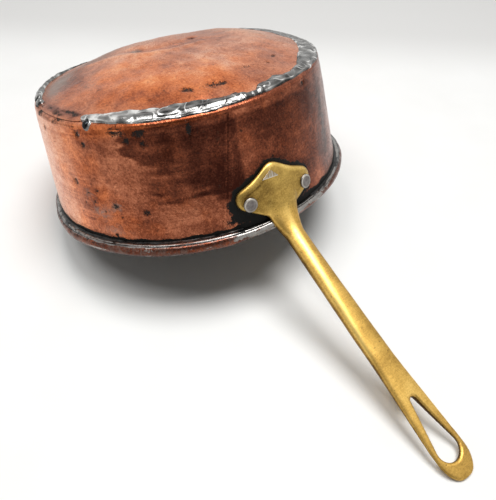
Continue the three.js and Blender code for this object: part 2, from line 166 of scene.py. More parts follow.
def soft_field(seed, size, u, v, lap=None, waves=40):
    """A smooth random field of about -1 to 1 over u and v, with bumps of one size.

    Where a lap is given, the field closes on itself after that length along u.
    """
    rng = np.random.default_rng(seed)
    rate = FULL_TURN / size * rng.uniform(0.45, 1, waves)
    heading = rng.uniform(0, FULL_TURN, waves)
    phase = rng.uniform(0, FULL_TURN, waves)
    across = rate * np.cos(heading)
    if lap:
        across = np.rint(across * lap / FULL_TURN) * FULL_TURN / lap
    along = rate * np.sin(heading)
    total = sum(np.cos(a * u + b * v + p) for a, b, p in zip(across, along, phase))
    return total / sqrt(2 * waves)
    return total / sqrt(2 * waves)


def soft_fields(layers, u, v, lap=None):
    """Sum of soft fields: each layer is a seed, the size of its bumps and its strength."""
    return sum(soft_field(seed, size, u, v, lap) * strength for seed, size, strength in layers)


def angle_apart(angle, other):
    return (angle - other + pi) % FULL_TURN - pi


def near_degrees(angle, middle, far, near):
    """1 within the near number of degrees of a middle, falling to 0 at the far number."""
    return smooth_step(np.abs(angle_apart(angle, radians(middle))), radians(far), radians(near))


def ridge(value, middle, half):
    """1 at the middle, falling off softly on both sides."""
    return np.exp(-((value - middle) / half) ** 2)


def patches(marks, angle, level, radius):
    """Sum of soft patches: each mark is degrees round, level, two half sizes, strength."""
    total = np.zeros(np.broadcast(angle, level).shape)
    for degrees, middle, half_round, half_high, strength in marks:
        u = angle_apart(angle, radians(degrees)) * radius / half_round
        v = (level - middle) / half_high
        total += strength * np.exp(-(u * u + v * v))
    return total


def grid_faces(rows, columns, close_rows=False, close_columns=False):
    i = np.arange(rows if close_rows else rows - 1)
    j = np.arange(columns if close_columns else columns - 1)
    i, j = np.meshgrid(i, j, indexing="ij")
    after, beside = (i + 1) % rows, (j + 1) % columns
    corners = (i * columns + j, after * columns + j, after * columns + beside, i * columns + beside)
    return np.stack(corners, -1).reshape(-1, 4)


def new_mesh(name, points, faces):
    mesh = bpy.data.meshes.new(name)
    mesh.from_pydata(points.reshape(-1, 3).tolist(), [], faces)
    return mesh


def closed_mesh(name, points):
    """A smooth-shaded mesh in metres, closed both ways, with its faces turned outwards."""
    faces = grid_faces(*points.shape[:2], close_rows=True, close_columns=True)
    points = points.reshape(-1, 3)
    a, b, c, d = (points[faces[:, k]] for k in range(4))
    volume = np.einsum("ij,ij->", a, np.cross(b, c)) + np.einsum("ij,ij->", a, np.cross(c, d))
    if volume < 0:
        faces = faces[:, ::-1]
    mesh = new_mesh(name, points * MM, faces.tolist())
    mesh.shade_smooth()
    return mesh


def tube_faces(rings, sides, order=-1):
    """Faces of a tube, with one face over each end that runs round it in the given order."""
    first = list(range(sides))
    last = [(rings - 1) * sides + i for i in first]
    return grid_faces(rings, sides, close_columns=True).tolist() + [first[::order], last[::-order]]


def tube_mesh(name, points, order=-1):
    """A smooth-shaded tube in metres through rings of points."""
    mesh = new_mesh(name, points * MM, tube_faces(*points.shape[:2], order))
    mesh.shade_smooth()
    return mesh


def round_points(r, angle, z):
    return np.stack([r * np.cos(angle), r * np.sin(angle), z], -1)


def there_and_back(out, back):
    """Two grids laid end to end along their rows, the second one reversed."""
    return np.concatenate([out, back[:, ::-1]], 1)


def lengths_along(points):
    return np.concatenate([[0], np.cumsum(np.linalg.norm(np.diff(points, axis=0), axis=1))])


def set_attributes(mesh, **fields):
    """Keep a number for each point under each name, for the materials."""
    for name, values in fields.items():
        layer = mesh.attributes.new(name, "FLOAT", "POINT")
        layer.data.foreach_set("value", np.asarray(values, np.float32).ravel())


def set_skin(mesh, u, v):
    """Keep lengths round and along the surface as a vector, for patterns that follow it."""
    layer = mesh.attributes.new("skin", "FLOAT_VECTOR", "POINT")
    flat = np.stack([np.ravel(u), np.ravel(v), np.zeros(np.size(u))], -1) * MM
    layer.data.foreach_set("vector", flat.astype(np.float32).ravel())


def add_object(name, data):
    added = bpy.data.objects.new(name, data)
    bpy.context.scene.collection.objects.link(added)
    return added


def add_piece(name, mesh, nodes, material):
    """A piece of the model, moved from the pot's frame to the shared one."""
    mesh.transform(POT)
    mesh.materials.clear()
    mesh.materials.append(material)
    piece = add_object(name, mesh)
    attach(piece, "root")
    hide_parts(*nodes)


class Shader:
    """Nodes of a material or world, added and linked one call at a time."""

    def __init__(self, owner):
        self.owner = owner
        owner.use_nodes = True
        self.tree = owner.node_tree
        self.tree.nodes.clear()

    def feed(self, socket, value):
        if isinstance(value, bpy.types.NodeSocket):
            self.tree.links.new(value, socket)
        else:
            socket.default_value = value

    def node(self, kind, *values, **settings):
        """Add a node with its settings, and give its first inputs these values in order."""
        node = self.tree.nodes.new("ShaderNode" + kind)
        for name, value in settings.items():
            setattr(node, name, value)
        for socket, value in zip(node.inputs, values):
            self.feed(socket, value)
        return node

    def math(self, operation, *values):
        return self.node("Math", *values, operation=operation).outputs[0]

    def attribute(self, name):
        return self.node("Attribute", attribute_name=name).outputs["Fac"]

    def place(self, stretch=(1, 1, 1)):
        """Place in the shared frame, squeezed by a factor along each axis."""
        place = self.node("TexCoord").outputs["Object"]
        return self.node("Mapping", place, (0, 0, 0), (0, 0, 0), stretch).outputs[0]

    def skin(self, stretch=(1, 1, 1)):
        skin = self.node("Attribute", attribute_name="skin").outputs["Vector"]
        return self.node("Mapping", skin, (0, 0, 0), (0, 0, 0), stretch).outputs[0]

    def noise(self, size, detail=3, rough=0.55, vector=None, twist=0):
        """Noise from 0 to 1 whose bumps are about this many millimetres wide."""
        node = self.node("TexNoise")
        self.feed(node.inputs["Vector"], vector or self.place())
        node.inputs["Scale"].default_value = 1 / (size * MM)
        node.inputs["Detail"].default_value = detail
        node.inputs["Roughness"].default_value = rough
        node.inputs["Distortion"].default_value = twist
        return node.outputs[0]

    def band(self, value, low, high, to_low=0.0, to_high=1.0):
        """Value carried from one range to another, held at both ends."""
        node = self.node("MapRange", value, low, high, to_low, to_high)
        node.interpolation_type = "SMOOTHSTEP"
        return node.outputs[0]

    def spread(self, value, reach=0.17):
        """Noise stretched to run from -0.5 to 0.5, so that it shows."""
        node = self.node("MapRange", value, 0.5 - reach, 0.5 + reach, -0.5, 0.5)
        return node.outputs[0]

    def total(self, first, *weighted):
        """First value plus each following value times its weight."""
        for value, weight in weighted:
            first = self.math("MULTIPLY_ADD", value, weight, first)
        return first

    def mix(self, factor, first, second, blend="MIX"):
        node = self.node("Mix", data_type="RGBA", blend_type=blend)
        self.feed(node.inputs[0], factor)
        for socket, value in zip((node.inputs[6], node.inputs[7]), (first, second)):
            self.feed(socket, value if isinstance(value, bpy.types.NodeSocket) else (*value, 1))
        return node.outputs[2]

    def ramp(self, factor, stops):
        node = self.node("ValToRGB", factor)
        elements = node.color_ramp.elements
        for _ in range(len(stops) - 2):
            elements.new(0.5)
        for element, (at, colour) in zip(elements, stops):
            element.position = at
            element.color = (*colour, 1)
        return node.outputs[0]

    def bump(self, height, depth, normal=None):
        """Bump whose full height is this many millimetres."""
        node = self.node("Bump")
        node.inputs["Distance"].default_value = depth * MM
        self.feed(node.inputs["Height"], height)
        if normal:
            self.feed(node.inputs["Normal"], normal)
        return node.outputs[0]

    def finish(self, colour, rough, normal, metal=1.0, shine=0.5):
        shader = self.node("BsdfPrincipled")
        self.feed(shader.inputs["Specular IOR Level"], shine)
        self.feed(shader.inputs["Base Color"], colour)
        self.feed(shader.inputs["Roughness"], rough)
        self.feed(shader.inputs["Metallic"], metal)
        self.feed(shader.inputs["Normal"], normal)
        self.node("OutputMaterial", shader.outputs[0])
        return self.owner


BLACK = (0.006, 0.006, 0.0055)
PIT_COLOUR = (0.01, 0.009, 0.008)
FILM_COLOUR = (0.36, 0.29, 0.25)
WARMTH = (1.16, 0.92, 0.62)
STAIN_COLOUR = (0.06, 0.036, 0.022)
PIT_SHADE = (0.42, 0.4, 0.37)
DULL_TIN = (0.16, 0.15, 0.14)
TIN_COLOUR = (0.42, 0.4, 0.38)
BRASS_WARMTH = (1.02, 0.95, 0.88)
COPPER_STOPS = (
    (0.0, (0.84, 0.43, 0.27)),
    (0.2, (0.66, 0.255, 0.135)),
    (0.4, (0.44, 0.15, 0.078)),
    (0.6, (0.235, 0.068, 0.034)),
    (0.8, (0.105, 0.03, 0.017)),
    (1.0, (0.042, 0.011, 0.007)),
)


def patina_colour(s, mottle, grain, flecks, scratches):
    """Copper from bright to dark, brighter where rubbed, with a warm cast, a film and dots."""
    rubbed = s.math("MULTIPLY", s.attribute("rubbed"), s.band(s.noise(9, 3), 0.4, 0.6))
    tone = s.total(s.attribute("tone"), (mottle, 0.13), (grain, 0.2), (flecks, 0.2))
    tone = s.total(tone, (s.math("MULTIPLY", scratches, rubbed), 0.34))
    colour = s.ramp(tone, COPPER_STOPS)
    warm = s.total(s.attribute("warm"), (s.spread(s.noise(17, 3, 0.55)), 0.7))
    colour = s.mix(s.band(warm, 0.0, 0.9), colour, WARMTH, "MULTIPLY")
    film = s.total(s.attribute("film"), (flecks, 0.4))
    colour = s.mix(s.band(film, 0.1, 1.0, 0.0, 0.75), colour, FILM_COLOUR)
    dots = s.band(s.total(s.noise(1.2, 2, 0.6), (flecks, 0.08)), 0.62, 0.72)
    return s.mix(s.math("MULTIPLY", dots, 0.55), colour, STAIN_COLOUR)


def marked_colour(s, colour):
    """A colour with tin, pits and soot laid over it, and where the pits and the soot are."""
    ragged = s.spread(s.noise(2.4, 4, 0.75, twist=0.5))
    speck = s.spread(s.noise(0.9, 3, 0.75), 0.2)
    stain = s.band(s.total(s.attribute("pit"), (ragged, 0.6)), 0.2, 0.8)
    sunk = s.math("MULTIPLY", s.attribute("pit"), 0.72)
    core = s.band(s.total(sunk, (ragged, 0.5), (speck, 0.55)), 0.46, 0.62)
    burnt = s.band(s.total(s.attribute("soot"), (ragged, 0.6), (speck, 0.2)), 0.28, 0.5)
    tinned = s.band(s.total(s.attribute("tin"), (ragged, 0.5)), 0.4, 0.55)
    tin = s.mix(s.noise(4, 4), DULL_TIN, TIN_COLOUR)
    colour = s.mix(tinned, colour, tin)
    colour = s.mix(s.math("MULTIPLY", stain, 0.8), colour, PIT_SHADE, "MULTIPLY")
    colour = s.mix(s.math("MULTIPLY", core, 0.95), colour, PIT_COLOUR)
    return s.mix(burnt, colour, BLACK), core, burnt


def copper_material(name, rough):
    """Worn copper: toned by patina and painted shading, pitted black, sooty, tinned by the mask."""
    s = Shader(bpy.data.materials.new(name))
    mottle = s.spread(s.noise(13, 4, 0.6))
    grain = s.spread(s.noise(1.0, 2, 0.65))
    flecks = s.spread(s.noise(3.6, 4, 0.7, twist=0.8))
    scratches = s.spread(s.noise(1.4, 3, 0.6, s.skin((0.045, 1, 1))))
    colour, core, burnt = marked_colour(s, patina_colour(s, mottle, grain, flecks, scratches))
    dirt = s.math("MAXIMUM", core, burnt)
    metal = s.math("MULTIPLY_ADD", dirt, -0.7, 1)
    shine = s.math("MULTIPLY_ADD", dirt, -0.32, 0.5)
    roughness = s.total(rough, (mottle, 0.08), (flecks, 0.1), (dirt, 0.25))
    normal = s.bump(s.total(grain, (flecks, 1.2), (scratches, 0.9)), 0.035)
    normal = s.bump(s.math("MULTIPLY", core, -1), 0.15, normal)
    return s.finish(colour, roughness, normal, metal, shine)


def solder_material():
    s = Shader(bpy.data.materials.new("solder"))
    cloud = s.noise(7, 3, 0.5)
    grain = s.noise(0.9, 2, 0.5)
    # Painted highlights and shading, with tarnish, set how bright the solder is
    worn = s.total(s.attribute("crest"), (s.spread(cloud), 0.22), (s.spread(grain), 0.06))
    colour = s.ramp(worn, (
        (0.05, (0.035, 0.034, 0.033)),
        (0.35, (0.15, 0.147, 0.143)),
        (0.65, (0.32, 0.314, 0.305)),
        (0.95, (0.86, 0.85, 0.83)),
    ))
    specks = s.band(s.noise(1.6, 2, 0.5), 0.69, 0.74)
    colour = s.mix(specks, colour, BLACK)
    char = s.band(s.attribute("char"), 0.35, 0.65)
    colour = s.mix(char, colour, (0.02, 0.022, 0.024))
    roughness = s.math("MULTIPLY_ADD", cloud, 0.16, 0.09)
    return s.finish(colour, roughness, s.bump(s.total(grain, (cloud, 2.0)), 0.04))


def tin_material():
    s = Shader(bpy.data.materials.new("rim_tin"))
    cloud = s.noise(3, 4, 0.65)
    streaks = s.noise(0.8, 2, 0.5, s.skin((0.06, 1, 1)))
    shine = s.math("MULTIPLY_ADD", cloud, 0.5, s.math("MULTIPLY_ADD", streaks, 0.6, -0.1))
    # Painted highlight and shade from the tin's mask
    shine = s.math("ADD", shine, s.math("MULTIPLY", s.attribute("crest"), 0.35))
    colour = s.ramp(shine, (
        (0.3, (0.01, 0.01, 0.01)),
        (0.55, (0.05, 0.049, 0.048)),
        (0.8, (0.3, 0.295, 0.29)),
        (1.0, (0.75, 0.74, 0.73)),
    ))
    return s.finish(colour, s.math("MULTIPLY_ADD", cloud, 0.3, 0.15), s.bump(streaks, 0.15))


def iron_material():
    s = Shader(bpy.data.materials.new("wire_iron"))
    cloud = s.noise(4, 4, 0.6)
    colour = s.ramp(cloud, ((0.3, (0.06, 0.05, 0.045)), (0.7, (0.22, 0.19, 0.17))))
    return s.finish(colour, s.math("MULTIPLY_ADD", cloud, 0.3, 0.35), s.bump(s.noise(0.8), 0.05))


def brass_material():
    """Polished cast brass, browner where hands and cloths don't reach, with painted highlights and
    shade.
    """
    s = Shader(bpy.data.materials.new("brass"))
    cloud = s.noise(14, 4, 0.6)
    grain = s.noise(0.9, 3, 0.6)
    pores = s.band(s.noise(1.5, 3, 0.6), 0.63, 0.72)
    scratches = s.spread(s.noise(0.7, 2, 0.5, s.place((1, 0.12, 0.3))))
    dull = s.total(s.attribute("dull"), (s.spread(cloud), 0.3), (s.spread(grain), 0.2))
    dull = s.total(dull, (scratches, 0.1))
    colour = s.ramp(dull, (
        (0.0, (0.9, 0.64, 0.2)),
        (0.35, (0.6, 0.395, 0.105)),
        (0.7, (0.3, 0.185, 0.045)),
        (1.0, (0.09, 0.05, 0.014)),
    ))
    colour = s.mix(s.attribute("warm"), colour, BRASS_WARMTH, "MULTIPLY")
    colour = s.mix(s.math("MULTIPLY", pores, 0.6), colour, (0.07, 0.045, 0.02))
    roughness = s.math("MULTIPLY_ADD", cloud, 0.14, s.math("MULTIPLY_ADD", dull, 0.1, 0.27))
    bumps = s.math("SUBTRACT", grain, s.math("MULTIPLY", pores, 1.5))
    return s.finish(colour, roughness, s.bump(bumps, 0.03))


def rivet_material():
    s = Shader(bpy.data.materials.new("rivet_metal"))
    cloud = s.noise(2.4, 4, 0.6)
    edge = s.attribute("edge")
    colour = s.ramp(cloud, ((0.3, (0.12, 0.105, 0.1)), (0.7, (0.27, 0.245, 0.235))))
    gilt = s.ramp(cloud, ((0.3, (0.34, 0.22, 0.06)), (0.7, (0.55, 0.37, 0.11))))
    colour = s.mix(s.attribute("gilt"), colour, gilt)
    # Painted highlight: the pale ring on the round heads and the bright foot of the worn one
    colour = s.mix(edge, colour, (0.66, 0.62, 0.54))
    return s.finish(colour, s.math("MULTIPLY_ADD", cloud, 0.2, 0.22), s.bump(s.noise(0.7), 0.04))


def lerp_round(keys, angle):
    """Value round the pot from (degrees, value) keys, joined by straight lines."""
    degrees, values = zip(*keys)
    return np.interp(np.degrees(angle), degrees, values, period=360)


def arc(centre_r, centre_z, radius, start, end, steps):
    angle = np.linspace(start, end, steps + 1)
    return np.stack([centre_r + radius * np.cos(angle), centre_z + radius * np.sin(angle)], -1)


def plate_outline(steps=40):
    """Outline of the handle's plate seen along the handle: a kite with three round lobes."""
    side = PLATE_HALF_WIDTH - PLATE_LOBE_RADIUS
    crown = PLATE_TOP - PLATE_CROWN_RADIUS
    rise = crown - PLATE_SHOULDER_HEIGHT
    spread = asin((PLATE_CROWN_RADIUS - PLATE_LOBE_RADIUS) / sqrt(side ** 2 + rise ** 2))
    right = pi / 2 - np.arctan2(rise, side) - spread
    lobe = arc(side, PLATE_SHOULDER_HEIGHT, PLATE_LOBE_RADIUS, LOBE_UNDERSIDE, right, steps)
    top = arc(0, crown, PLATE_CROWN_RADIUS, right, pi / 2, steps // 2)
    share = np.linspace(0, 1, 14)[1:-1, None]
    inward = np.array([-cos(right), -sin(right)])
    flank = lobe[-1] * (1 - share) + top[0] * share
    flank = flank + inward * FLANK_HOLLOW * np.sin(pi * share) ** 2
    half = np.concatenate([[[PLATE_FOOT_HALF, PLATE_FOOT]], lobe, flank, top])
    mirrored = half[-2::-1] * (-1, 1)
    whole = np.concatenate([half, mirrored])
    lean = CROWN_SHIFT * smooth_step(whole[:, 1], PLATE_SHOULDER_HEIGHT, PLATE_TOP)
    y = whole[:, 0] + PLATE_SHIFT + lean
    return np.stack([y, whole[:, 1] + PLATE_SLANT * y], -1)


def resampled(outline, count):
    """An outline's points set evenly along it, closed."""
    closed = np.concatenate([outline, outline[:1]])
    length = lengths_along(closed)
    at = np.linspace(0, length[-1], count, endpoint=False)
    return np.stack([np.interp(at, length, closed[:, k]) for k in (0, 1)], -1)


def distance_to(outline, y, z):
    """Distance from points to an outline, and less than zero inside it."""
    start = outline
    end = np.roll(outline, -1, axis=0)
    best = np.full(y.shape, np.inf)
    inside = np.zeros(y.shape, bool)
    for (y0, z0), (y1, z1) in zip(start, end):
        dy, dz = y1 - y0, z1 - z0
        t = np.clip(((y - y0) * dy + (z - z0) * dz) / (dy * dy + dz * dz), 0, 1)
        best = np.minimum(best, np.hypot(y - y0 - t * dy, z - z0 - t * dz))
        crosses = (z0 > z) != (z1 > z)
        if dz:
            inside ^= crosses & (y < y0 + (z - z0) * dy / dz)
    return np.where(inside, -best, best)


# The curl is beaten slimmer in places, by the handle most of all: degrees round and share
CURL_SHARES = (
    (-150, 1.0), (-122, 0.85), (-104, 0.68), (-92, 0.84), (-80, 1.0), (-60, 1.04), (-36, 1.04),
    (-20, 0.98), (-6, 0.82), (12, 0.7), (34, 0.78), (52, 0.92), (80, 0.95), (118, 1.0), (180, 1.0),
)
CURL_ROOT = CURL_CENTRE - CURL_RADIUS


def curl_share(angle):
    return lerp_round(CURL_SHARES, angle)


# Wall: how fine its grid is, how deep its marks go, and where they are
WALL_COLUMNS = 840
CREVICE_TOP = 10
DENT_DEPTH = 0.45
PIT_DEPTH = 0.35
GROOVE_ANGLE = radians(66)
GROOVE_HALF = 0.12
PLATE_SECTOR = 0.9
FAR_OFF = 99
WALL_PITS = (
    (-66.8, 71.0, 2.6, 2.8, 1.1), (-88.5, 69.2, 1.4, 2.4, 1), (-73.8, 41.5, 2.4, 2.8, 1),
    (-57.4, 29.3, 3.2, 2.0, 1), (-45.7, 26.2, 2.4, 2.2, 1), (-55.6, 22.6, 1.4, 1.2, 0.9),
    (-59.4, 10.5, 1.2, 1.6, 1), (-26.0, 71.0, 1.7, 5.4, 1.2), (-41.6, 65.5, 2.8, 2.6, 1),
    (-47.5, 67.8, 2.8, 2.2, 1), (-64.8, 65.4, 2.0, 2.2, 0.9), (-9.1, 62.5, 1.2, 1.4, 0.9),
    (22.2, 72.5, 2.4, 2.2, 1.1), (0.9, 42.3, 1.6, 1.4, 0.9), (-50.4, 73.0, 6.0, 3.0, 1.1),
    (-42.3, 72.0, 5.0, 2.6, 1.1), (-68.0, 36.0, 1.4, 1.0, 0.8), (-66.0, 31.0, 1.2, 1.6, 0.8),
    (-71.0, 29.0, 1.0, 1.4, 0.8), (-64.0, 38.0, 2.2, 1.2, 0.7), (-50.0, 18.0, 1.8, 1.4, 0.7),
    (-62.0, 25.0, 1.2, 1.0, 0.8), (130, 40, 3, 2, 1), (165, 60, 2, 2, 1), (95, 30, 2, 3, 0.9),
    (200, 35, 3, 2, 1), (235, 55, 2, 2, 1),
)
# Tone round the wall in degrees, partly patina and partly painted reflection
WALL_PATINA_AND_REFLECTION = (
    (-110, 0.05), (-92, 0.08), (-82, 0.17), (-74, 0.3), (-66, 0.48), (-52, 0.54), (-30, 0.57),
    (-13, 0.62), (0, 0.66), (22, 0.74), (42, 0.68), (60, 0.5), (90, 0.35), (180, 0.4), (230, 0.25),
)
# Dark patch left of the seam, part stain and part painted reflection: edge, right end, foot,
# strength
DARK_PATCH_EDGE = (
    (30, -20), (34, -26), (41, -31.5), (46, -36), (49, -41), (53, -42), (56, -44.5), (57.5, -48.9),
    (60, -50.4), (75, -49.5),
)
DARK_PATCH_RIGHT = -12
DARK_PATCH_FOOT = 28
DARK_PATCH_TONE = 0.29
CORNER_TONES = (
    (-110, 0.3), (-70, 0.28), (-55, 0.4), (-40, 0.6), (0, 0.66), (40, 0.6), (70, 0.4), (180, 0.4),
)
WALL_WARM = (
    (-70, 42, 24, 24, 0.5), (-60, 73, 30, 5, 0.8), (-35, 75, 40, 2, 0.7), (-60, 20, 20, 10, 0.4),
)
WALL_FILM = (
    (-57, 29, 4, 3, 0.6), (-64, 24, 9, 5, 0.5), (-68, 36, 5, 5, 0.4), (-60, 13, 10, 4, 0.4),
    (-74, 42, 4, 5, 0.4),
)
WALL_PATCHES = (
    (-22, 58, 6, 10, 0.04), (-18, 38, 7, 9, -0.02), (-43, 60, 7, 8, -0.16), (-29, 45, 8, 8, 0.05),
    (-31, 56, 2.6, 12, -0.12), (-36, 36, 10, 2, 0.06), (0, 58, 15, 11, 0.02), (-4, 68, 18, 4, 0.12),
    (-68, 31, 9, 10, 0.12), (13, 31, 9, 8, -0.08), (24, 14, 8, 8, -0.26), (24, 50, 7, 22, 0.08),
    (34, 62, 5, 14, 0.1), (34, 42, 4, 16, 0.36), (12, 70, 10, 4, 0.1), (-9, 34, 6, 10, -0.04),
    (-58, 45, 9, 20, -0.06), (-34, 38, 9, 3, 0.12), (-30, 20, 26, 8, -0.1),
    (-40.4, 36.4, 3, 2, 0.4), (-36.3, 31, 8, 0.9, 0.36), (-30, 33, 12, 0.8, 0.28),
    (-42, 42, 7, 3, 0.16), (-20, 72.5, 40, 1.6, -0.22), (20, 72.5, 30, 1.6, -0.2),
    (-60, 71, 20, 2, -0.12), (-55, 20, 20, 6, 0.02), (110, 40, 40, 30, 0.2), (180, 45, 50, 30, 0.1),
    (240, 30, 40, 30, -0.1),
)


# Stretches of the wall's section: bends and hidden faces, inner side, curl and outer side
BEND, INNER, CURL, OUTER = range(4)


def wall_section():
    """Closed section of the wall: radius, height and stretch of each point."""
    corner = BASE_RADIUS - CORNER_RADIUS
    flange = BASE_RADIUS - FLANGE_WIDTH
    land = 1.5 * pi
    end = FULL_TURN + acos((WALL_THICKNESS + CURL_CREVICE - CURL_RADIUS) / CURL_RADIUS)
    inner_z = np.linspace(SHOULDER, CURL_LEVEL + 1, 36)[1:]
    outer_z = np.linspace(CURL_LEVEL + 0.6, SHOULDER, 84)[:-1]
    runs = (
        (arc(corner, SHOULDER, CORNER_RADIUS, 0, pi / 2, 10), BEND),
        (np.array([[flange, HEIGHT], [flange, HEIGHT - WALL_THICKNESS]]), BEND),
        (arc(corner, SHOULDER, CORNER_RADIUS - WALL_THICKNESS, pi / 2, 0, 6), BEND),
        (np.stack([wall_radius(inner_z) - WALL_THICKNESS, inner_z], -1), INNER),
        (arc(CURL_CENTRE, CURL_LEVEL, CURL_RADIUS, pi, land - LAND_ANGLE, 12), CURL),
        (arc(CURL_CENTRE, CURL_LEVEL, CURL_RADIUS, land + LAND_ANGLE, end, 40), CURL),
        (arc(CURL_CENTRE, CURL_LEVEL, CURL_RADIUS - WALL_THICKNESS, end, pi, 14), BEND),
        (np.stack([wall_radius(outer_z), outer_z], -1), OUTER),
    )
    points = np.concatenate([run for run, _ in runs])
    kinds = np.concatenate([np.full(len(run), kind) for run, kind in runs])
    return points[:, 0], points[:, 1], kinds


def wall_columns():
    """Angles of the wall's grid, even but for four close ones over the seam's edge."""
    even = np.linspace(-pi, pi, WALL_COLUMNS, endpoint=False)
    from_edge = np.abs(angle_apart(even, SEAM_TOP_ANGLE + SEAM_EDGE / 2))
    edge = SEAM_TOP_ANGLE + SEAM_EDGE * np.linspace(0, 1, 4)
    return np.sort(np.concatenate([even[from_edge > SEAM_EDGE * 0.7], edge]))[:, None]


def wall_dents(angle, z):
    dents = soft_fields(((11, 62, 1.0), (12, 26, 0.45), (13, 9, 0.11)), angle * MEAN_RADIUS, z, LAP)
    free = smooth_step(z, 9, 20) * smooth_step(HEIGHT - z, 2, 9)
    plate = smooth_step(np.abs(angle_apart(angle, 0)) * MEAN_RADIUS, 27, 42)
    high = smooth_step(z, PLATE_TOP + 3, PLATE_TOP + 14)
    return DENT_DEPTH * dents * free * np.maximum(plate, high)


def seam_upright(z):
    """How far the seam stands out at a height: 1 along the wall, 0 at the curl and shoulder."""
    return smooth_step(z, SEAM_BOTTOM - 2, SEAM_BOTTOM) * smooth_step(SHOULDER - z, -0.2, 1.2)


def seam_relief(past, upright):
    """The step at the seam's lapped edge, which slopes back to the wall over the lap."""
    rise = np.clip(past / SEAM_EDGE, 0, 1) * np.clip(1 - past / SEAM_LAP, 0, 1)
    return SEAM_STEP * rise * upright


def curl_groove(angle):
    """Where the groove in the curl's tin runs, as an angle round the curl."""
    return GROOVE_ANGLE + 0.12 * soft_field(23, 60, angle * MEAN_RADIUS, 0, LAP)


def beaten_curl(angle, r, z, curl, rolled):
    """Radius and height with the curl made uneven and beaten slimmer, and the angle round it."""
    around = angle * MEAN_RADIUS
    turn = np.arctan2(z - CURL_LEVEL, r - CURL_CENTRE)
    wobble = 0.16 * soft_field(21, 24, around, turn * 6, LAP)
    wobble = wobble + 0.1 * soft_field(22, 7, around, turn * 4, LAP)
    wobble = wobble - 0.4 * ridge(turn, curl_groove(angle), GROOVE_HALF)
    off_table = smooth_step(np.abs(angle_apart(angle, pi)), 0.35, 0.7)
    lift = wobble * off_table * smooth_step(turn, -1.2, -0.6) * curl
    share = np.where(rolled, curl_share(angle), 1)
    r = CURL_ROOT + (r + lift * np.cos(turn) - CURL_ROOT) * share
    z = CURL_LEVEL + (z + lift * np.sin(turn) - CURL_LEVEL) * share
    return r, z, turn


def dark_patch_tone(angle, shifted, z, ragged, streak):
    """Dark patch left of the seam, part stain and part painted reflection, with a pale border."""
    degrees = np.degrees(angle)
    edge_z, edge_degrees = zip(*DARK_PATCH_EDGE)
    past_edge = np.degrees(shifted) + 2.5 * streak - np.interp(z, edge_z, edge_degrees)
    blur = np.interp(z, (50, 57), (4.5, 1.2))
    inside = smooth_step(past_edge / blur, -0.7, 1) * smooth_step(DARK_PATCH_RIGHT - degrees, -2, 0)
    inside = inside * smooth_step(z + ragged + 2.5 * streak, DARK_PATCH_FOOT - 3, DARK_PATCH_FOOT + 8)
    border = ridge(past_edge, -1.2, 0.8) * smooth_step(z, 52, 56) * smooth_step(degrees, -52, -50)
    return DARK_PATCH_TONE * inside - 0.16 * border


def seam_tone(past, upright, streak):
    """Darker before the seam and paler past it, with a bright and a dark line at its step."""
    sides = np.where(past < 0, 0.06 * np.exp(past / 6), -0.08 * np.exp(-past / 9))
    lines = 0.1 * ridge(past, 0.2, 0.5) - 0.16 * ridge(past + 0.3 * streak, -0.8, 0.45)
    return sides + lines * upright


def wall_tone(angle, z, past, upright):
    around = angle * MEAN_RADIUS
    ragged = 2.4 * soft_field(36, 11, 0.6 * around, 2.4 * z)
    ragged = ragged + 1.6 * soft_field(37, 4, 0.3 * around, 1.6 * z)
    shifted = angle + ragged / MEAN_RADIUS
    streak = soft_field(40, 3.6, 0.12 * around, z)
    # Partly patina and partly painted reflection: pale at the left, dark in the middle
    tone = lerp_round(WALL_PATINA_AND_REFLECTION, angle)
    tone = tone + patches(WALL_PATCHES, shifted, z + 0.5 * ragged, MEAN_RADIUS)
    tone = tone + dark_patch_tone(angle, shifted, z, ragged, streak)
    tone = tone + 0.05 * streak * smooth_step(-np.degrees(angle), 18, 30)
    tone = tone + 0.06 * soft_field(31, 30, around, z, LAP)
    tone = tone + 0.05 * soft_field(32, 12, around, 0.2 * z, LAP)
    return tone + seam_tone(past * MEAN_RADIUS, upright, streak)


def from_plate(angle, y, z):
    """Distance from the handle's plate near it, and a long one elsewhere."""
    near = np.abs(angle_apart(angle, 0)) < PLATE_SECTOR
    return np.where(near, np.maximum(distance_to(plate_outline(6), y, z), 0), FAR_OFF)


def wall_soot(angle, y, z, far):
    """Soot round the plate and in the crevice above the curl."""
    around = angle * MEAN_RADIUS
    reach = 2.0 + 0.9 * soft_field(33, 8, around, z, LAP)
    reach = reach + 4.2 * smooth_step(-y, 8, 22) * smooth_step(32 - z, 0, 16)
    reach = reach - 0.6 * smooth_step(y, 4, 12) * smooth_step(z, 14, 20)
    reach = reach + 4 * smooth_step(np.abs(y), 2, 12) * smooth_step(17 - z, 0, 5)
    soot = ridge(far, 0, reach) * (z > SEAM_BOTTOM - 2.5)
    crevice = smooth_step(CREVICE_TOP + 0.8 * soft_field(38, 12, around, 0, LAP) - z, 0, 1.6)
    return np.maximum(soot, crevice)


def curl_tin(angle, turn, left):
    """Tin on the curl: over its top, by the handle, in two worn lines, and under its foot."""
    around = angle * MEAN_RADIUS
    worn = 0.3 * soft_field(35, 16, around, turn * 3, LAP)
    worn = worn + 0.25 * soft_field(39, 6, around, turn * 5, LAP)
    by_handle = ridge(np.degrees(angle), 0, 24) * smooth_step(turn, -0.9, 0.2)
    silver = smooth_step(turn, radians(46), GROOVE_ANGLE) + 1.1 * worn + 0.95 * by_handle
    lines = ridge(turn, -0.1, 0.16) * left + 0.6 * ridge(turn, -0.75, 0.14)
    lines = lines * (0.5 + 0.9 * soft_field(26, 10, around, 0, LAP))
    return np.where(turn < -1.3, 0.9, np.clip(silver + lines, 0, 1))


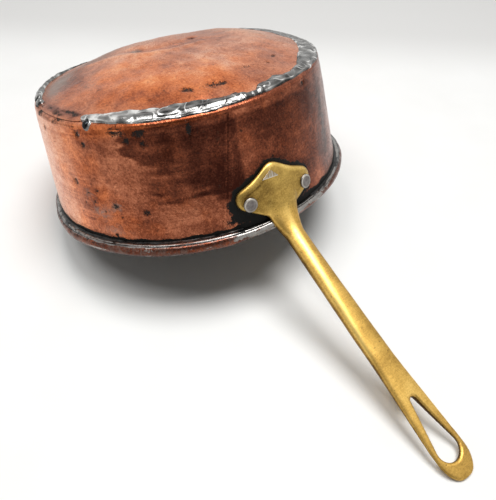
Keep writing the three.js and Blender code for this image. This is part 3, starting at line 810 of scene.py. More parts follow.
def curl_dirt(angle, turn, left):
    """Dirt in the curl's groove, and thinly over its upper side at the left."""
    groove = np.where(turn > 0, 0.75 * ridge(turn, curl_groove(angle), GROOVE_HALF), 0)
    return np.maximum(groove, 0.3 * left * smooth_step(turn, 0.3, 0.6))


def corner_scorch(angle, z):
    """Black scorching of the wall's corner where the joint is bare, at the left."""
    burn = 0.35 + 0.6 * soft_field(34, 9, angle * MEAN_RADIUS, z, LAP)
    return np.clip(near_degrees(angle, -84, 18, 15) * burn, 0, 1)


def build_wall(material):
    section_r, section_z, kind = wall_section()
    columns = wall_columns()
    z = np.broadcast_to(section_z, (len(columns), len(section_z)))
    angle = columns + SEAM_SLANT * (np.clip(z, SEAM_BOTTOM, SHOULDER) - SHOULDER)
    around = angle * MEAN_RADIUS
    outer, curl = kind == OUTER, kind == CURL
    corner = (kind == BEND) & (z > SHOULDER)
    dents = wall_dents(angle, z)
    pit = patches(WALL_PITS, angle, z, MEAN_RADIUS)
    past, upright = columns - SEAM_TOP_ANGLE, seam_upright(z)
    relief = seam_relief(past, upright) - PIT_DEPTH * smooth_step(pit, 0.3, 0.9)
    r = section_r + dents * (outer | (kind == INNER)) + relief * outer
    rolled = curl | ((kind == BEND) & (z < SHOULDER / 2))
    r, z, turn = beaten_curl(angle, r, z, curl, rolled)
    sagged = z - edge_sag(angle) * smooth_step(z, 52, SHOULDER)
    mesh = closed_mesh("wall_sheet", round_points(r, angle, sagged))

    y, left = r * np.sin(angle), near_degrees(angle, -88, 36, 22)
    far = from_plate(angle, y, z)
    # Dents: hollows darker and rises paler, part wear and part painted shade that shows them
    tone = wall_tone(angle, z, past, upright) - 0.12 * dents + 0.22 * ridge(far, 0, 4.5)
    curl_tone = 0.85 + 0.12 * soft_field(24, 14, around, turn * 3, LAP)
    corner_tone = lerp_round(CORNER_TONES, angle) + 0.05 * soft_field(25, 8, around, z, LAP)
    set_attributes(
        mesh,
        tone=np.where(curl, curl_tone, np.where(corner, corner_tone, tone)),
        warm=patches(WALL_WARM, angle, z, MEAN_RADIUS),
        film=patches(WALL_FILM, angle, z, MEAN_RADIUS) + 0.3 * curl,
        pit=np.maximum((outer | corner) * pit, corner * corner_scorch(angle, z)),
        soot=np.where(curl, curl_dirt(angle, turn, left), outer * wall_soot(angle, y, z, far)),
        tin=np.where(curl, curl_tin(angle, turn, left), kind == INNER),
        rubbed=np.where(curl, 0.2, 0.25 + 0.75 * smooth_step(-np.degrees(angle), 55, 80)),
    )
    set_skin(mesh, around, z)
    add_piece("wall_sheet", mesh, ["body_wall"], material)


# The far side of the base's edge is beaten down here and there: degrees round and depth
EDGE_SAGS = (
    (-128, 0), (-146, 0.8), (-156, 1.5), (-172, 2.0), (165, 2.3), (150, 1.8), (140, 0.6),
    (120, 0.1), (104, 0.4), (90, 1.2), (76, 1.4), (62, 0.3), (50, 0),
)
SAG_BLUR = np.radians((-6, -2, 2, 6))


def edge_sag(angle):
    return sum(lerp_round(EDGE_SAGS, angle + shift) for shift in SAG_BLUR) / len(SAG_BLUR)


# Base: its grid, how far its bare edge is beaten out, and its dents and bulges as degrees round,
# radius, two half sizes and height
BASE_RINGS = 120
BASE_COLUMNS = 600
BEATEN_OUT = 2.6
BASE_DENTS = (
    (-108, 22, 11, 4, -0.7), (96, 17, 9, 5, -0.8), (43, 6, 3, 3, -0.7), (-23.2, 70.8, 3, 3, -0.5),
    (-60, 45, 24, 12, -0.6), (30, 48, 18, 18, 0.4), (88, 50, 30, 12, 1.4), (-158, 64, 28, 14, -0.5),
    (160, 54, 26, 14, -4.9), (-10, 20, 10, 8, 0.5),
)
BASE_PITS = (
    (-23.9, 70.3, 4.2, 2.6, 0.9), (-21.5, 72.5, 1.5, 2.0, 0.8), (-11.7, 71.3, 7.5, 3.2, 0.8),
    (-6.7, 72.3, 2.5, 1.5, 0.8), (-20.2, 54.3, 3.0, 1.4, 0.5), (10, 66, 8.0, 3.4, 0.5),
    (31.6, 69.0, 3.6, 1.3, 0.9), (22.4, 70.8, 1.4, 1.2, 1), (48.8, 59.4, 4.0, 1.6, 0.5),
    (24.5, 29.0, 4.0, 2.0, 0.35), (42, 7, 3.2, 1.4, 1), (96.3, 16.8, 6.5, 1.4, 0.6),
    (-108, 22, 7.0, 2.2, 0.8), (-39.1, 73.5, 4.0, 1.4, 0.5), (-70.3, 64.4, 3.4, 1.4, 0.5),
    (-114.2, 66.8, 4.0, 1.4, 0.45), (-82.4, 87.4, 3.6, 1.8, 1), (-77.4, 84.4, 4.4, 1.4, 0.9),
    (-73.3, 84.1, 4.0, 1.6, 0.9), (-69.5, 86.0, 3.2, 1.8, 1), (-88.5, 86.4, 3.0, 1.4, 0.8),
    (-95.0, 88.0, 4.0, 1.2, 0.9), (-84.0, 84.0, 3.0, 1.0, 0.6), (-78.0, 88.5, 4.0, 1.0, 0.9),
    (70, 60, 3, 2, 0.8), (140, 55, 4, 3, 0.9),
)
BASE_TONES = (
    (-40, 70, 50, 12, 0.18), (-100, 76, 40, 14, 0.16), (40, 62, 36, 24, 0.12),
    (5, 74, 30, 11, 0.13), (-70, 50, 20, 10, 0.06), (-128, 62, 24, 14, 0.26),
    (-150, 45, 18, 10, 0.2), (-30, 40, 20, 9, 0.06), (-108, 22, 11, 4, 0.5), (96, 16, 9, 3, 0.3),
    (-41, 58, 12, 6, -0.1), (-6, 37, 14, 6, -0.08), (-84, 86, 26, 3.5, 0.32),
    (-12, 81, 26, 7, 0.05), (-40, 78, 26, 7, 0.14), (-88, 62, 20, 12, 0.12),
    (100, 60, 60, 20, -0.06), (21, 24, 16, 12, -0.08),
)
BASE_WARM = (
    (-55, 52, 50, 24, 0.8), (-30, 70, 50, 7, 0.35), (-90, 70, 20, 12, 0.3), (-14, 62, 40, 16, 0.6),
)
BASE_FILM = (
    (-118, 74, 16, 9, 0.7), (-110, 23.5, 11, 4.5, 0.9), (-105, 80, 20, 5, 0.5),
    (-150, 50, 40, 16, 0.5), (100, 50, 60, 20, 0.35), (-82, 62, 10, 5, 0.35),
    (180, 60, 60, 20, 0.4),
)
FOLD = ((-128.0, 80.0), (-122.0, 62.0), (-115.5, 44.0), (-66.7, 21.1), (-35.6, 14.4), (48.7, 18.5))

# Radii at which the base's marks, and its pits, have their stated sizes round the pot
MARK_RADIUS = 70
PIT_RADIUS = 80


def fold_height(x, y):
    """Long low fold that runs in from the edge of the base."""
    corners = [(r * cos(radians(a)), r * sin(radians(a))) for a, r in FOLD]
    far = np.full(x.shape, np.inf)
    side = np.zeros(x.shape)
    for (x0, y0), (x1, y1) in zip(corners, corners[1:]):
        dx, dy = x1 - x0, y1 - y0
        t = np.clip(((x - x0) * dx + (y - y0) * dy) / (dx * dx + dy * dy), 0, 1)
        gap = np.hypot(x - x0 - t * dx, y - y0 - t * dy)
        behind = np.sign(dx * (y - y0) - dy * (x - x0))
        side = np.where(gap < far, behind, side)
        far = np.minimum(far, gap)
    return 0.7 * ridge(far, 0, 3.5) - 1.0 * ridge(far * side, 9, 5)


def base_height(angle, r):
    x, y = r * np.cos(angle), r * np.sin(angle)
    dents = soft_fields(((41, 62, 0.9), (42, 24, 0.5), (43, 9, 0.13)), x, y)
    dents = dents + patches(BASE_DENTS, angle, r, MARK_RADIUS) + fold_height(x, y)
    dents = dents - PIT_DEPTH * smooth_step(patches(BASE_PITS, angle, r, PIT_RADIUS), 0.3, 0.9)
    return dome_height(r) + dents * smooth_step(DOME_RADIUS - r, -1, 9)


def base_grid():
    """Angle, radius and height of the base's upper side, then of its lower side turned back."""
    rim = np.array([DOME_RADIUS, DOME_RADIUS + 1.5, DISC_RADIUS - 0.4, DISC_RADIUS])
    rings = np.concatenate([np.linspace(0.3, DOME_RADIUS, BASE_RINGS)[:-1], rim])
    angle, r = np.meshgrid(np.linspace(-pi, pi, BASE_COLUMNS, endpoint=False), rings)
    top = base_height(angle, r)
    beaten = near_degrees(angle, -85, 24, 16)
    top -= (0.35 + 0.75 * beaten) * smooth_step(r, DISC_RADIUS - 2.5, DISC_RADIUS)
    r = r + BEATEN_OUT * beaten * smooth_step(r, DOME_RADIUS - 4, DISC_RADIUS)
    under = np.maximum(top - BASE_THICKNESS, np.where(r > DOME_RADIUS - 4, HEIGHT + 0.05, 0))
    sag = edge_sag(angle) * smooth_step(r, 40, DISC_RADIUS)
    upper_and_lower = ((angle, angle), (r, r), (top - sag, under - sag))
    return [np.concatenate([upper, lower[::-1]]) for upper, lower in upper_and_lower]


def build_base(material):
    angle, r, z = base_grid()
    points = round_points(r, angle, z)
    x, y = points[..., 0], points[..., 1]
    mesh = closed_mesh("base_sheet", points)
    is_top = np.arange(len(z))[:, None] < len(z) / 2
    tone = 0.19 + patches(BASE_TONES, angle, r, MARK_RADIUS)
    tone = tone + soft_fields(((51, 30, 0.06), (52, 10, 0.05)), x, y)
    # Relief: hollows darker and rises paler, part wear and part painted shade that shows them
    tone = tone - 0.11 * (base_height(angle, r) - dome_height(r))
    set_attributes(
        mesh,
        tone=tone,
        warm=patches(BASE_WARM, angle, r, MARK_RADIUS),
        film=patches(BASE_FILM, angle, r, MARK_RADIUS),
        pit=is_top * patches(BASE_PITS, angle, r, PIT_RADIUS),
        soot=0 * z,
        tin=0 * z + ~is_top,
        rubbed=0 * z + 0.3,
    )
    set_skin(mesh, x, y)
    add_piece("base_sheet", mesh, ["base_disc"], material)


# Solder band: inner and outer edge round the pot, as lengths from the disc's rim along the joint
SOLDER_COLUMNS = 1300
SOLDER_ROWS = 60
SOLDER_INNER = (
    (-66, 0.2), (-60, -1.2), (-50, -3.0), (-38, -4.2), (-27, -4.4), (-19, -3.2), (-12, -1.3),
    (-6, -1.2), (-3, 2.8), (1, 3.4), (4, -0.8), (9, -1.2), (13, -3.6), (17, -1.4), (21, 1.2),
    (26, 0.2), (31, -0.6), (38, -3.9), (50, -4.4), (58, -4.4), (68, -5.6), (80, -5.0), (92, -3.0),
    (112, 1.6), (206, 2.8), (218, 2.4), (228, 2.0), (245, 1.6), (256, 1.8), (262, 2.0),
)
SOLDER_OUTER = (
    (-66, 4.6), (-60, 5.2), (-50, 6.3), (-40, 7.4), (-30, 7.2), (-20, 7.6), (-10, 7.0), (-2, 6.2),
    (8, 6.2), (15, 6.2), (22, 6.6), (30, 7.8), (40, 8.4), (52, 8.4), (60, 7.8), (72, 6.4),
    (96, 6.0), (112, 4.4), (206, 4.2), (220, 4.8), (230, 5.4), (250, 6.8), (262, 6.8),
)
SOLDER_SWELL = (
    (-66, 1), (60, 1), (72, 0.4), (140, 0.35), (200, 0.5), (208, 1.0), (214, 1.5), (221, 1.6),
    (246, 1.6), (256, 1.2), (288, 1),
)
# Brightness of the solder round the pot, part tarnish and part painted reflection
SOLDER_SHINE = (
    (-66, 0.85), (-50, 0.78), (-38, 0.52), (-8, 0.32), (5, 0.36), (20, 0.5), (60, 0.54), (90, 0.4),
    (250, 0.36),
)

# The two runs of solder: degrees where each starts and degrees that it covers
BAND_ARC = (-66, 322)
BLOB_ARC = (-104, 6)
BLOB_COLUMNS = 40
BLOB_SWELL = 1.3

# Charred lump in the band: degrees round, length along the joint, half sizes and height
LUMP_DEGREES = -61.6
LUMP_ALONG = 6.8
LUMP_HALF_ROUND = 2.3
LUMP_HALF_ALONG = 3.2
LUMP_HEIGHT = 1.9

# How far the solder's bare stretches and its underside lie below the joint's surface
SOLDER_SINK = 0.45
SOLDER_ROOT = 0.6


def solder_support():
    """Section of the joint under the solder, with lengths along it from the disc's rim."""
    dome_r = np.linspace(DOME_RADIUS - 12, DOME_RADIUS, 30)
    dome = np.stack([dome_r, dome_height(dome_r)], -1)
    step = np.array([[DISC_RADIUS, DISC_TOP], [DISC_RADIUS + 1, (DISC_TOP + HEIGHT) / 2]])
    corner = arc(BASE_RADIUS - CORNER_RADIUS, SHOULDER, CORNER_RADIUS, pi / 2, 0, 10)
    wall = np.array([[wall_radius(SHOULDER - 5), SHOULDER - 5]])
    points = np.concatenate([dome, step, corner, wall])
    length = lengths_along(points)
    return points, length - length[len(dome) - 1]


def solder_rows():
    """Rows along the joint: their lengths, places in section, and directions out of it."""
    points, length = solder_support()
    row = np.linspace(length[0] + 1.5, length[-1] - 0.2, SOLDER_ROWS)
    places = [np.interp(row, length, points[:, k]) for k in (0, 1)]
    slopes = [np.pad(np.gradient(place, row), 2, "edge") for place in places]
    along_r, along_z = (np.convolve(slope, np.ones(5) / 5, "valid") for slope in slopes)
    size = np.hypot(along_r, along_z)
    return row, places, (-along_z / size, along_r / size)


def puddles(angle, along, middle, seed, start, sweep):
    """Height of overlapping puddles of solder, and their rings, over an angle and a length."""
    rng = np.random.default_rng(seed)
    height = np.zeros(angle.shape)
    rings = np.zeros(angle.shape)
    at = start
    while at < start + sweep:
        radius = rng.uniform(4.5, 10.0)
        tall = rng.uniform(0.4, 1.0)
        centre = np.interp(at, angle[:, 0], middle[:, 0]) + rng.normal(0, 1.2)
        lean = rng.uniform(-0.6, 0.6)
        across = along - centre
        u = (angle_apart(angle, at) * BASE_RADIUS + lean * across) / (radius * rng.uniform(0.7, 1.4))
        v = across / radius
        d = np.sqrt(u * u + v * v)
        bump = tall * np.sqrt(np.clip(1 - d ** 3, 0, 1))
        ring = np.cos(FULL_TURN * d * radius / rng.uniform(2.6, 4.6)) * smooth_step(d, 0.25, 0.55)
        rings = np.where(bump > height, ring, rings)
        height = np.maximum(height, bump)
        at += radius * rng.uniform(0.5, 1.1) / BASE_RADIUS
    return height, rings


def solder_lump(angle, along):
    from_lump = angle_apart(angle, radians(LUMP_DEGREES)) * BASE_RADIUS / LUMP_HALF_ROUND
    return np.exp(-(from_lump ** 2 + ((along - LUMP_ALONG) / LUMP_HALF_ALONG) ** 2) ** 2)


def solder_height(angle, along, across, half, puddle, rings, swell, seed):
    """Height of a rounded body with puddles on it, and where it is more than a skin."""
    body = np.sqrt(np.clip(1 - across ** 2, 0, 1))
    height = (np.minimum(puddle, 2.2 * body) + 0.55 * body) * np.clip(half / 2.4, 0.4, 1)
    height = height * swell * lerp_round(SOLDER_SWELL, angle)
    inside = smooth_step(height, 0.1, 0.5)
    grain = soft_field(seed + 3, 5, angle * BASE_RADIUS, along)
    return height + (0.09 * rings + 0.03 * grain) * inside, inside


def solder_crest(angle, along, across, height, rings, inside, seed):
    """How bright the solder is: tarnish and painted reflection by place, painted shading by slope,
    painted highlights on its rings and along its lower side.
    """
    around = angle * BASE_RADIUS
    slope = np.gradient(height, axis=1) / np.gradient(along, axis=1)
    flow = soft_field(seed + 4, 8, around, along)
    traced = np.clip(rings, 0, 1) ** 4 * inside * np.clip(0.6 + flow, 0, 1.4)
    crest = lerp_round(SOLDER_SHINE, angle) + 0.8 * traced + 0.14 * slope - 0.12 * inside
    crest = crest + 0.3 * soft_field(seed + 6, 6, around, along)
    lower = ridge(across, 0.72, 0.14) * (0.6 + 0.9 * soft_field(seed + 5, 9, around, 0))
    return np.clip(crest + 0.32 * lower * (across > 0), 0, 1)


def build_solder(name, nodes, arc_degrees, seed, material, columns, swell=1.0):
    start, sweep = (radians(degrees) for degrees in arc_degrees)
    row, support, outward = solder_rows()
    angle, along = np.meshgrid(np.linspace(start, start + sweep, columns), row, indexing="ij")
    around = angle * BASE_RADIUS
    inner = lerp_round(SOLDER_INNER, angle) + 0.7 * soft_field(seed + 1, 12, around, 0)
    outer = lerp_round(SOLDER_OUTER, angle) + 0.5 * soft_field(seed + 2, 9, around, 0)
    ends = smooth_step(np.minimum(angle - start, start + sweep - angle) * BASE_RADIUS, -0.5, 2.5)
    middle, half = (inner + outer) / 2, (outer - inner) / 2 * np.sqrt(ends) + 0.01
    across = (along - middle) / half
    puddle, rings = puddles(angle, along, middle, seed, start, sweep)
    height, inside = solder_height(angle, along, across, half, puddle, rings, swell, seed)
    lump = solder_lump(angle, along)
    height = np.maximum(height, LUMP_HEIGHT * lump)
    crest = solder_crest(angle, along, across, height, rings, inside, seed)

    whole = np.clip(ends * 3, 0, 1)
    lift = np.maximum(height, 0) - SOLDER_SINK * (1 - smooth_step(height, 0, 0.3))
    lift = lift * whole - SOLDER_SINK * (1 - whole)
    r, z = (
        there_and_back(place + out * lift, place - out * SOLDER_ROOT + 0 * lift)
        for place, out in zip(support, outward)
    )
    turn = there_and_back(angle, angle)
    z = z + base_height(turn, r) - dome_height(r) - edge_sag(turn)
    mesh = tube_mesh(name, round_points(r, turn, z))
    set_attributes(mesh, crest=there_and_back(crest, 0 * crest), char=there_and_back(lump, 0 * lump))
    add_piece(name, mesh, nodes, material)


# Tin in the rim's crevice: angle of its ends from the handle, angle of its edge round the
# curl, and how deep it is
TIN_END = radians(15)
TIN_SEAT = radians(64)
TIN_DEPTH = 0.7


def build_rim_tin(material):
    """Tin wiped into the crevice between wall and curl, with the marks of the wiping."""
    even = np.linspace(TIN_END, FULL_TURN - TIN_END, 900)
    angle, row = np.meshgrid(even, np.linspace(0, 1, 14), indexing="ij")
    around = angle * MOUTH_RADIUS
    radius = CURL_RADIUS * curl_share(angle)
    low = CURL_LEVEL + radius
    inner_r = wall_radius(low) + 0.05
    inner_z = low + 0.5 + 0.3 * soft_field(62, 20, around, 0, LAP)
    seat = TIN_SEAT + 0.12 * soft_field(63, 30, around, 0, LAP)
    outer_r = CURL_ROOT + radius + (radius + 0.1) * np.cos(seat)
    outer_z = CURL_LEVEL + (radius + 0.1) * np.sin(seat)
    r = inner_r + (outer_r - inner_r) * row
    z = inner_z + (outer_z - inner_z) * row - 0.25 * np.sin(pi * row)
    z = z + 0.15 * soft_field(64, 5, around, 6 * row) * np.sin(pi * row)
    # Painted highlight toward the curl and painted shade into the crevice, with some tarnish
    crest = np.clip(row * 1.3 - 0.55 + 0.3 * soft_field(65, 9, around, 4 * row), 0, 1)
    r, z, turn = there_and_back(r, r), there_and_back(z, z - TIN_DEPTH), there_and_back(angle, angle)
    mesh = tube_mesh("rim_tin", round_points(r, turn, z))
    set_attributes(mesh, crest=there_and_back(crest, 0 * crest))
    set_skin(mesh, turn * MOUTH_RADIUS, r)
    add_piece("rim_tin", mesh, ["rim_solder"], material)


def build_wire(material):
    """The iron wire inside the curl, as slim as the curl round it."""
    columns, sides = (np.linspace(0, FULL_TURN, count, endpoint=False) for count in (360, 20))
    angle, turn = np.meshgrid(columns, sides, indexing="ij")
    share = curl_share(angle)
    radius = (CURL_RADIUS - WALL_THICKNESS - FIT) * share
    radius = radius * (1 + 0.02 * soft_field(91, 5, angle * CURL_CENTRE, turn * 3, LAP))
    r = CURL_ROOT + CURL_RADIUS * share + radius * np.cos(turn)
    mesh = closed_mesh("curl_wire", round_points(r, angle, CURL_LEVEL + radius * np.sin(turn)))
    add_piece("curl_wire", mesh, ["rim_wire"], material)


# Handle: half width, half thickness and squareness at shares of the neck (-1 to 0) and grip
STATIONS = (
    (-1.0, 12.0, 4.2, 2.2), (0.0, 6.2, 4.6, 2.2), (0.2, 6.6, 4.4, 2.3), (0.55, 7.6, 3.5, 2.6),
    (0.88, 10.7, 1.6, 2.5), (1.0, 10.7, 1.6, 2.5),
)
GRIP_SIDES = 56
NECK_RINGS = 40
RISE_TOP = 29
RISE_SINK = 1.4
RISE_RINGS = 16
GRIP_RINGS = 200
HANDLE_VOXEL_MM = 0.5

# Stretch of the grip with the hole in it
HOLE_FROM = 196
HOLE_TO = 235
HOLE_EDGE = 1.8
HOLE_ROUNDING = 0.4
HOLE_CUT = 20

# Painted highlight down the grip, as a bright streak: from its middle at the neck to its left edge
GRIP_HIGHLIGHT_X = (105, 124, 157, 180)
GRIP_HIGHLIGHT_Y = (0.5, -1, -4.4, -6.8)
GRIP_HIGHLIGHT_HALF = (1.6, 1.5, 1.2, 0.8)


def bezier(points, t):
    """Point and direction on a Bezier curve through control points in the xz plane."""
    rest = np.asarray(points, float)
    while len(rest) > 2:
        rest = rest[:-1] * (1 - t) + rest[1:] * t
    along = rest[1] - rest[0]
    return rest[0] * (1 - t) + rest[1] * t, along / np.linalg.norm(along)


def heading(drop):
    return np.array([cos(drop), -sin(drop)])


def handle_curves():
    """Control points of the neck and of the grip, in the xz plane."""
    root = np.array([wall_radius(NECK_TOP) + FIT + ROOT_DEPTH, NECK_TOP])
    neck = np.array([MOUTH_RADIUS + NECK_OUT, -NECK_BELOW])
    middle = neck + heading(DROP_AT_NECK) * GRIP_LENGTH / 2
    end = middle + heading(DROP_AT_END) * GRIP_LENGTH / 2
    bend = np.linalg.norm(root - neck) / 3
    before = neck - heading(DROP_AT_NECK) * bend
    return (root, root - (0, bend), before, neck), (neck, middle, end)


def squared_off(value, square):
    return np.sign(value) * np.abs(value) ** (2 / square)


def handle_ring(curve, t, share):
    """Ring round a curve, as wide, thick and square as the stations say for this share."""
    centre, along = bezier(curve, t)
    at, *sizes = zip(*STATIONS)
    width, thickness, square = (np.interp(share, at, size) for size in sizes)
    to_tip = (1 - share) * GRIP_LENGTH if share > 0 else END_ROUND
    if to_tip < END_ROUND:
        past = 1 - to_tip / END_ROUND
        width = TIP_HALF_WIDTH + (width - TIP_HALF_WIDTH) * sqrt(1 - past ** 2)
        thickness = TIP_HALF_THICKNESS + (thickness - TIP_HALF_THICKNESS) * sqrt(1 - past ** 4)
    turn = np.linspace(0, FULL_TURN, GRIP_SIDES, endpoint=False)
    y = width * squared_off(np.cos(turn), square)
    out = thickness * squared_off(np.sin(turn), square)
    return np.stack([centre[0] - along[1] * out, y, centre[1] + along[0] * out], -1)


def rise_curve(root):
    """The neck's soft start: it comes out of the plate from well above the root."""
    start = np.array([wall_radius(RISE_TOP) - RISE_SINK, RISE_TOP])
    rise = RISE_TOP - NECK_TOP
    return start, start - (0, rise * 0.5), root + (0, rise * 0.35), root


def grip_mesh():
    neck, grip = handle_curves()
    rise = rise_curve(neck[0])
    rings = [handle_ring(rise, t, -1) for t in np.linspace(0, 1, RISE_RINGS, endpoint=False)]
    rings += [handle_ring(neck, t, t - 1) for t in np.linspace(0, 1, NECK_RINGS, endpoint=False)]
    rings += [handle_ring(grip, t, t) for t in 1 - (1 - np.linspace(0, 1, GRIP_RINGS)) ** 1.5]
    return new_mesh("grip", np.stack(rings), tube_faces(len(rings), GRIP_SIDES))


def plate_mesh():
    """The plate bent round the wall, with a bevelled edge."""
    outline = resampled(plate_outline(), 260)
    centre = np.array([PLATE_SHIFT, PLATE_SHOULDER_HEIGHT])
    shares = np.concatenate([np.linspace(0.02, 0.8, 16), np.linspace(0.82, 1, 16)])
    front = centre + (outline - centre) * shares[:, None, None]
    from_edge = (1 - shares[:, None]) * np.linalg.norm(outline - centre, axis=1)
    bevel = np.clip(1 - from_edge / PLATE_BEVEL, 0, 1)
    rounded = 1 - np.sqrt(1 - bevel ** 2)
    depth = PLATE_THICKNESS - BEVEL_DROP * (BEVEL_SHARE * bevel + (1 - BEVEL_SHARE) * rounded)
    y, z = np.moveaxis(np.concatenate([front, front[::-1]]), -1, 0)
    out = np.concatenate([depth, 0 * depth])
    points = np.stack([np.sqrt((wall_radius(z) + FIT + out) ** 2 - y ** 2), y, z], -1)
    faces = grid_faces(*points.shape[:2], close_rows=True, close_columns=True)
    return new_mesh("plate", points, faces.tolist())


def hole_shape():
    """Outline of the teardrop hole, with the middle of its round end and the grip's direction."""
    _, grip = handle_curves()
    round_at = GRIP_LENGTH - HOLE_TO_TIP - HOLE_RADIUS
    point_at = GRIP_LENGTH - HOLE_TO_TIP - HOLE_LENGTH + HOLE_POINT_RADIUS
    spread = acos((HOLE_RADIUS - HOLE_POINT_RADIUS) / (round_at - point_at))
    outline = np.concatenate([
        arc(0, 0, HOLE_RADIUS, -pi + spread, pi - spread, 60),
        arc(point_at - round_at, 0, HOLE_POINT_RADIUS, pi - spread, pi + spread, 20),
    ])
    centre, along = bezier(grip, round_at / GRIP_LENGTH)
    return outline, centre, along


def hole_mesh():
    """Teardrop prism through the end of the grip."""
    outline, centre, along = hole_shape()
    rings = []
    for out in (-HOLE_CUT, HOLE_CUT):
        x = centre[0] + along[0] * outline[:, 0] - along[1] * out
        z = centre[1] + along[1] * outline[:, 0] + along[0] * out
        rings.append(np.stack([x, outline[:, 1], z], -1))
    return new_mesh("hole", np.stack(rings), tube_faces(2, len(outline)))


def faced_out(mesh):
    """A scratch object of a mesh in millimetres, with its faces turned outwards."""
    shape = bmesh.new()
    shape.from_mesh(mesh)
    bmesh.ops.recalc_face_normals(shape, faces=shape.faces)
    shape.to_mesh(mesh)
    shape.free()
    return add_object(mesh.name, mesh)


def evaluated_mesh(scratch):
    bpy.context.view_layer.update()
    graph = bpy.context.evaluated_depsgraph_get()
    return bpy.data.meshes.new_from_object(scratch.evaluated_get(graph))


def drilled(grip, hole):
    cut = grip.modifiers.new("hole", "BOOLEAN")
    cut.object = hole
    cut.operation = "DIFFERENCE"
    cut.solver = "EXACT"
    return evaluated_mesh(grip)


def joined(first, second):
    shape = bmesh.new()
    shape.from_mesh(first)
    shape.from_mesh(second)
    both = bpy.data.meshes.new("casting")
    shape.to_mesh(both)
    shape.free()
    return both


def handle_casting():
    """Plate and drilled grip as one casting: joined by a remesh, and softened."""
    grip, plate, hole = (faced_out(make()) for make in (grip_mesh, plate_mesh, hole_mesh))
    whole = add_object("casting", joined(drilled(grip, hole), plate.data))
    fuse = whole.modifiers.new("fuse", "REMESH")
    fuse.mode = "VOXEL"
    fuse.voxel_size = HANDLE_VOXEL_MM
    soften = whole.modifiers.new("soften", "SMOOTH")
    soften.factor = 0.5
    soften.iterations = 7
    result = evaluated_mesh(whole)
    for scratch in (grip, plate, hole, whole):
        bpy.data.objects.remove(scratch)
    return result


def vertex_vectors(mesh, kind):
    """Places ("co") or directions ("normal") of a mesh's points."""
    values = np.empty(len(mesh.vertices) * 3)
    mesh.vertices.foreach_get(kind, values)
    return values.reshape(-1, 3)


def clear_of_body(x, y, z):
    """The places pushed out of the wall, and then out of the curl."""
    r = np.hypot(x, y)
    least = wall_radius(z) + FIT
    push = np.where((z > SEAM_BOTTOM - 3.5) & (r < least), least / r, 1)
    x, y = x * push, y * push
    r = np.hypot(x, y)
    radius = CURL_RADIUS * curl_share(np.arctan2(y, x))
    centre = CURL_ROOT + radius
    out_r, out_z = r - centre, z - CURL_LEVEL
    gap = np.hypot(out_r, out_z)
    grow = np.where(gap < radius + FIT, (radius + FIT) / gap, 1)
    moved = (centre + out_r * grow) / r
    return x * moved, y * moved, CURL_LEVEL + out_z * grow


def hole_rounded(x, y, z):
    """The places with the edges of the hanging hole rounded."""
    outline, middle, along = hole_shape()
    run = (x - middle[0]) * along[0] + (z - middle[1]) * along[1]
    out = (z - middle[1]) * along[0] - (x - middle[0]) * along[1]
    from_hole = np.maximum(distance_to(outline, run, y), 0)
    near = np.clip(1 - from_hole / HOLE_EDGE, 0, 1) * (x > HOLE_FROM)
    sunk = out * HOLE_ROUNDING * near ** 2
    return x + along[1] * sunk, y, z - along[0] * sunk


def plate_dull(y, z, facing):
    """How dull the plate is: browner at its left end, with painted shade in a crease and a painted
    highlight on its edge toward the crown and the left.
    """
    from_edge = -distance_to(plate_outline(6), y, z)
    edge = ridge(from_edge, 1.0, 1.0) * smooth_step(facing[2] - facing[1], -0.5, 0.2)
    crease = ridge(from_edge, 3.6, 0.6) * smooth_step(-y, 0, 8) * smooth_step(z, 22, 27)
    return 0.21 - 0.3 * edge + 0.2 * smooth_step(-y, 16, 22) + 0.22 * crease


def grip_dull(x, y, highlight_y, facing):
    """Painted shade on the grip: on its left flank, and right of its painted highlight."""
    flank = 0.5 * smooth_step(-facing[1] - 0.2 * facing[2], 0.68, 1)
    return flank + 0.16 * smooth_step(y - highlight_y, 1, 3) * smooth_step(200 - x, 0, 20)


def end_dull(x, y, facing):
    """How dull the grip's end is, with painted shade inside its hole most of all."""
    upward = facing[0] * sin(DROP_AT_END) + facing[2] * cos(DROP_AT_END)
    in_hole = smooth_step(0.6 - np.abs(upward), 0, 0.3) * (np.abs(y) < HOLE_RADIUS + 0.6)
    in_hole = in_hole * (x > HOLE_FROM) * (x < HOLE_TO)
    return 0.2 * smooth_step(x, 205, 232) + 0.8 * in_hole


def build_handle(material):
    mesh = handle_casting()
    points = vertex_vectors(mesh, "co")
    x, y, z = points.T
    cast = soft_fields(((71, 9, 0.06), (72, 26, 0.1)), x + 0.6 * z, y + 0.5 * z)
    points = points + vertex_vectors(mesh, "normal") * cast[:, None]
    x, y, z = hole_rounded(*clear_of_body(*points.T))
    mesh.vertices.foreach_set("co", (np.stack([x, y, z], -1) * MM).ravel())
    mesh.update()
    mesh.shade_smooth()

    facing = vertex_vectors(mesh, "normal").T
    on_plate = smooth_step(z, 8, 16)
    # Painted highlight down the grip's rounded left side, paler as well
    highlight_y = np.interp(x, GRIP_HIGHLIGHT_X, GRIP_HIGHLIGHT_Y)
    streak = ridge(y, highlight_y, np.interp(x, GRIP_HIGHLIGHT_X, GRIP_HIGHLIGHT_HALF))
    streak = streak * smooth_step(x, 103, 112) * smooth_step(186 - x, 0, 20)
    dull = 0.32 + 0.12 * soft_field(73, 22, x + z, y) - 0.42 * streak + end_dull(x, y, facing)
    dull = dull + plate_dull(y, z, facing) * on_plate
    dull = dull + grip_dull(x, y, highlight_y, facing) * (1 - on_plate)
    set_attributes(mesh, dull=dull, warm=(1 - on_plate) * (1 - 0.8 * streak))
    add_piece("handle_casting", mesh, ["handle"], material)


# Outer heads: radius of the round ones as degrees and millimetres, corners of the worn one
ROUND_HEAD = ((0, 4.1), (90, 4.3), (180, 4.0), (270, 4.2))
WORN_HEAD = ((-5.5, -1.0), (5.3, -1.8), (0.5, 3.3))
RIVET_RINGS = 90
RIVET_SIDES = 72


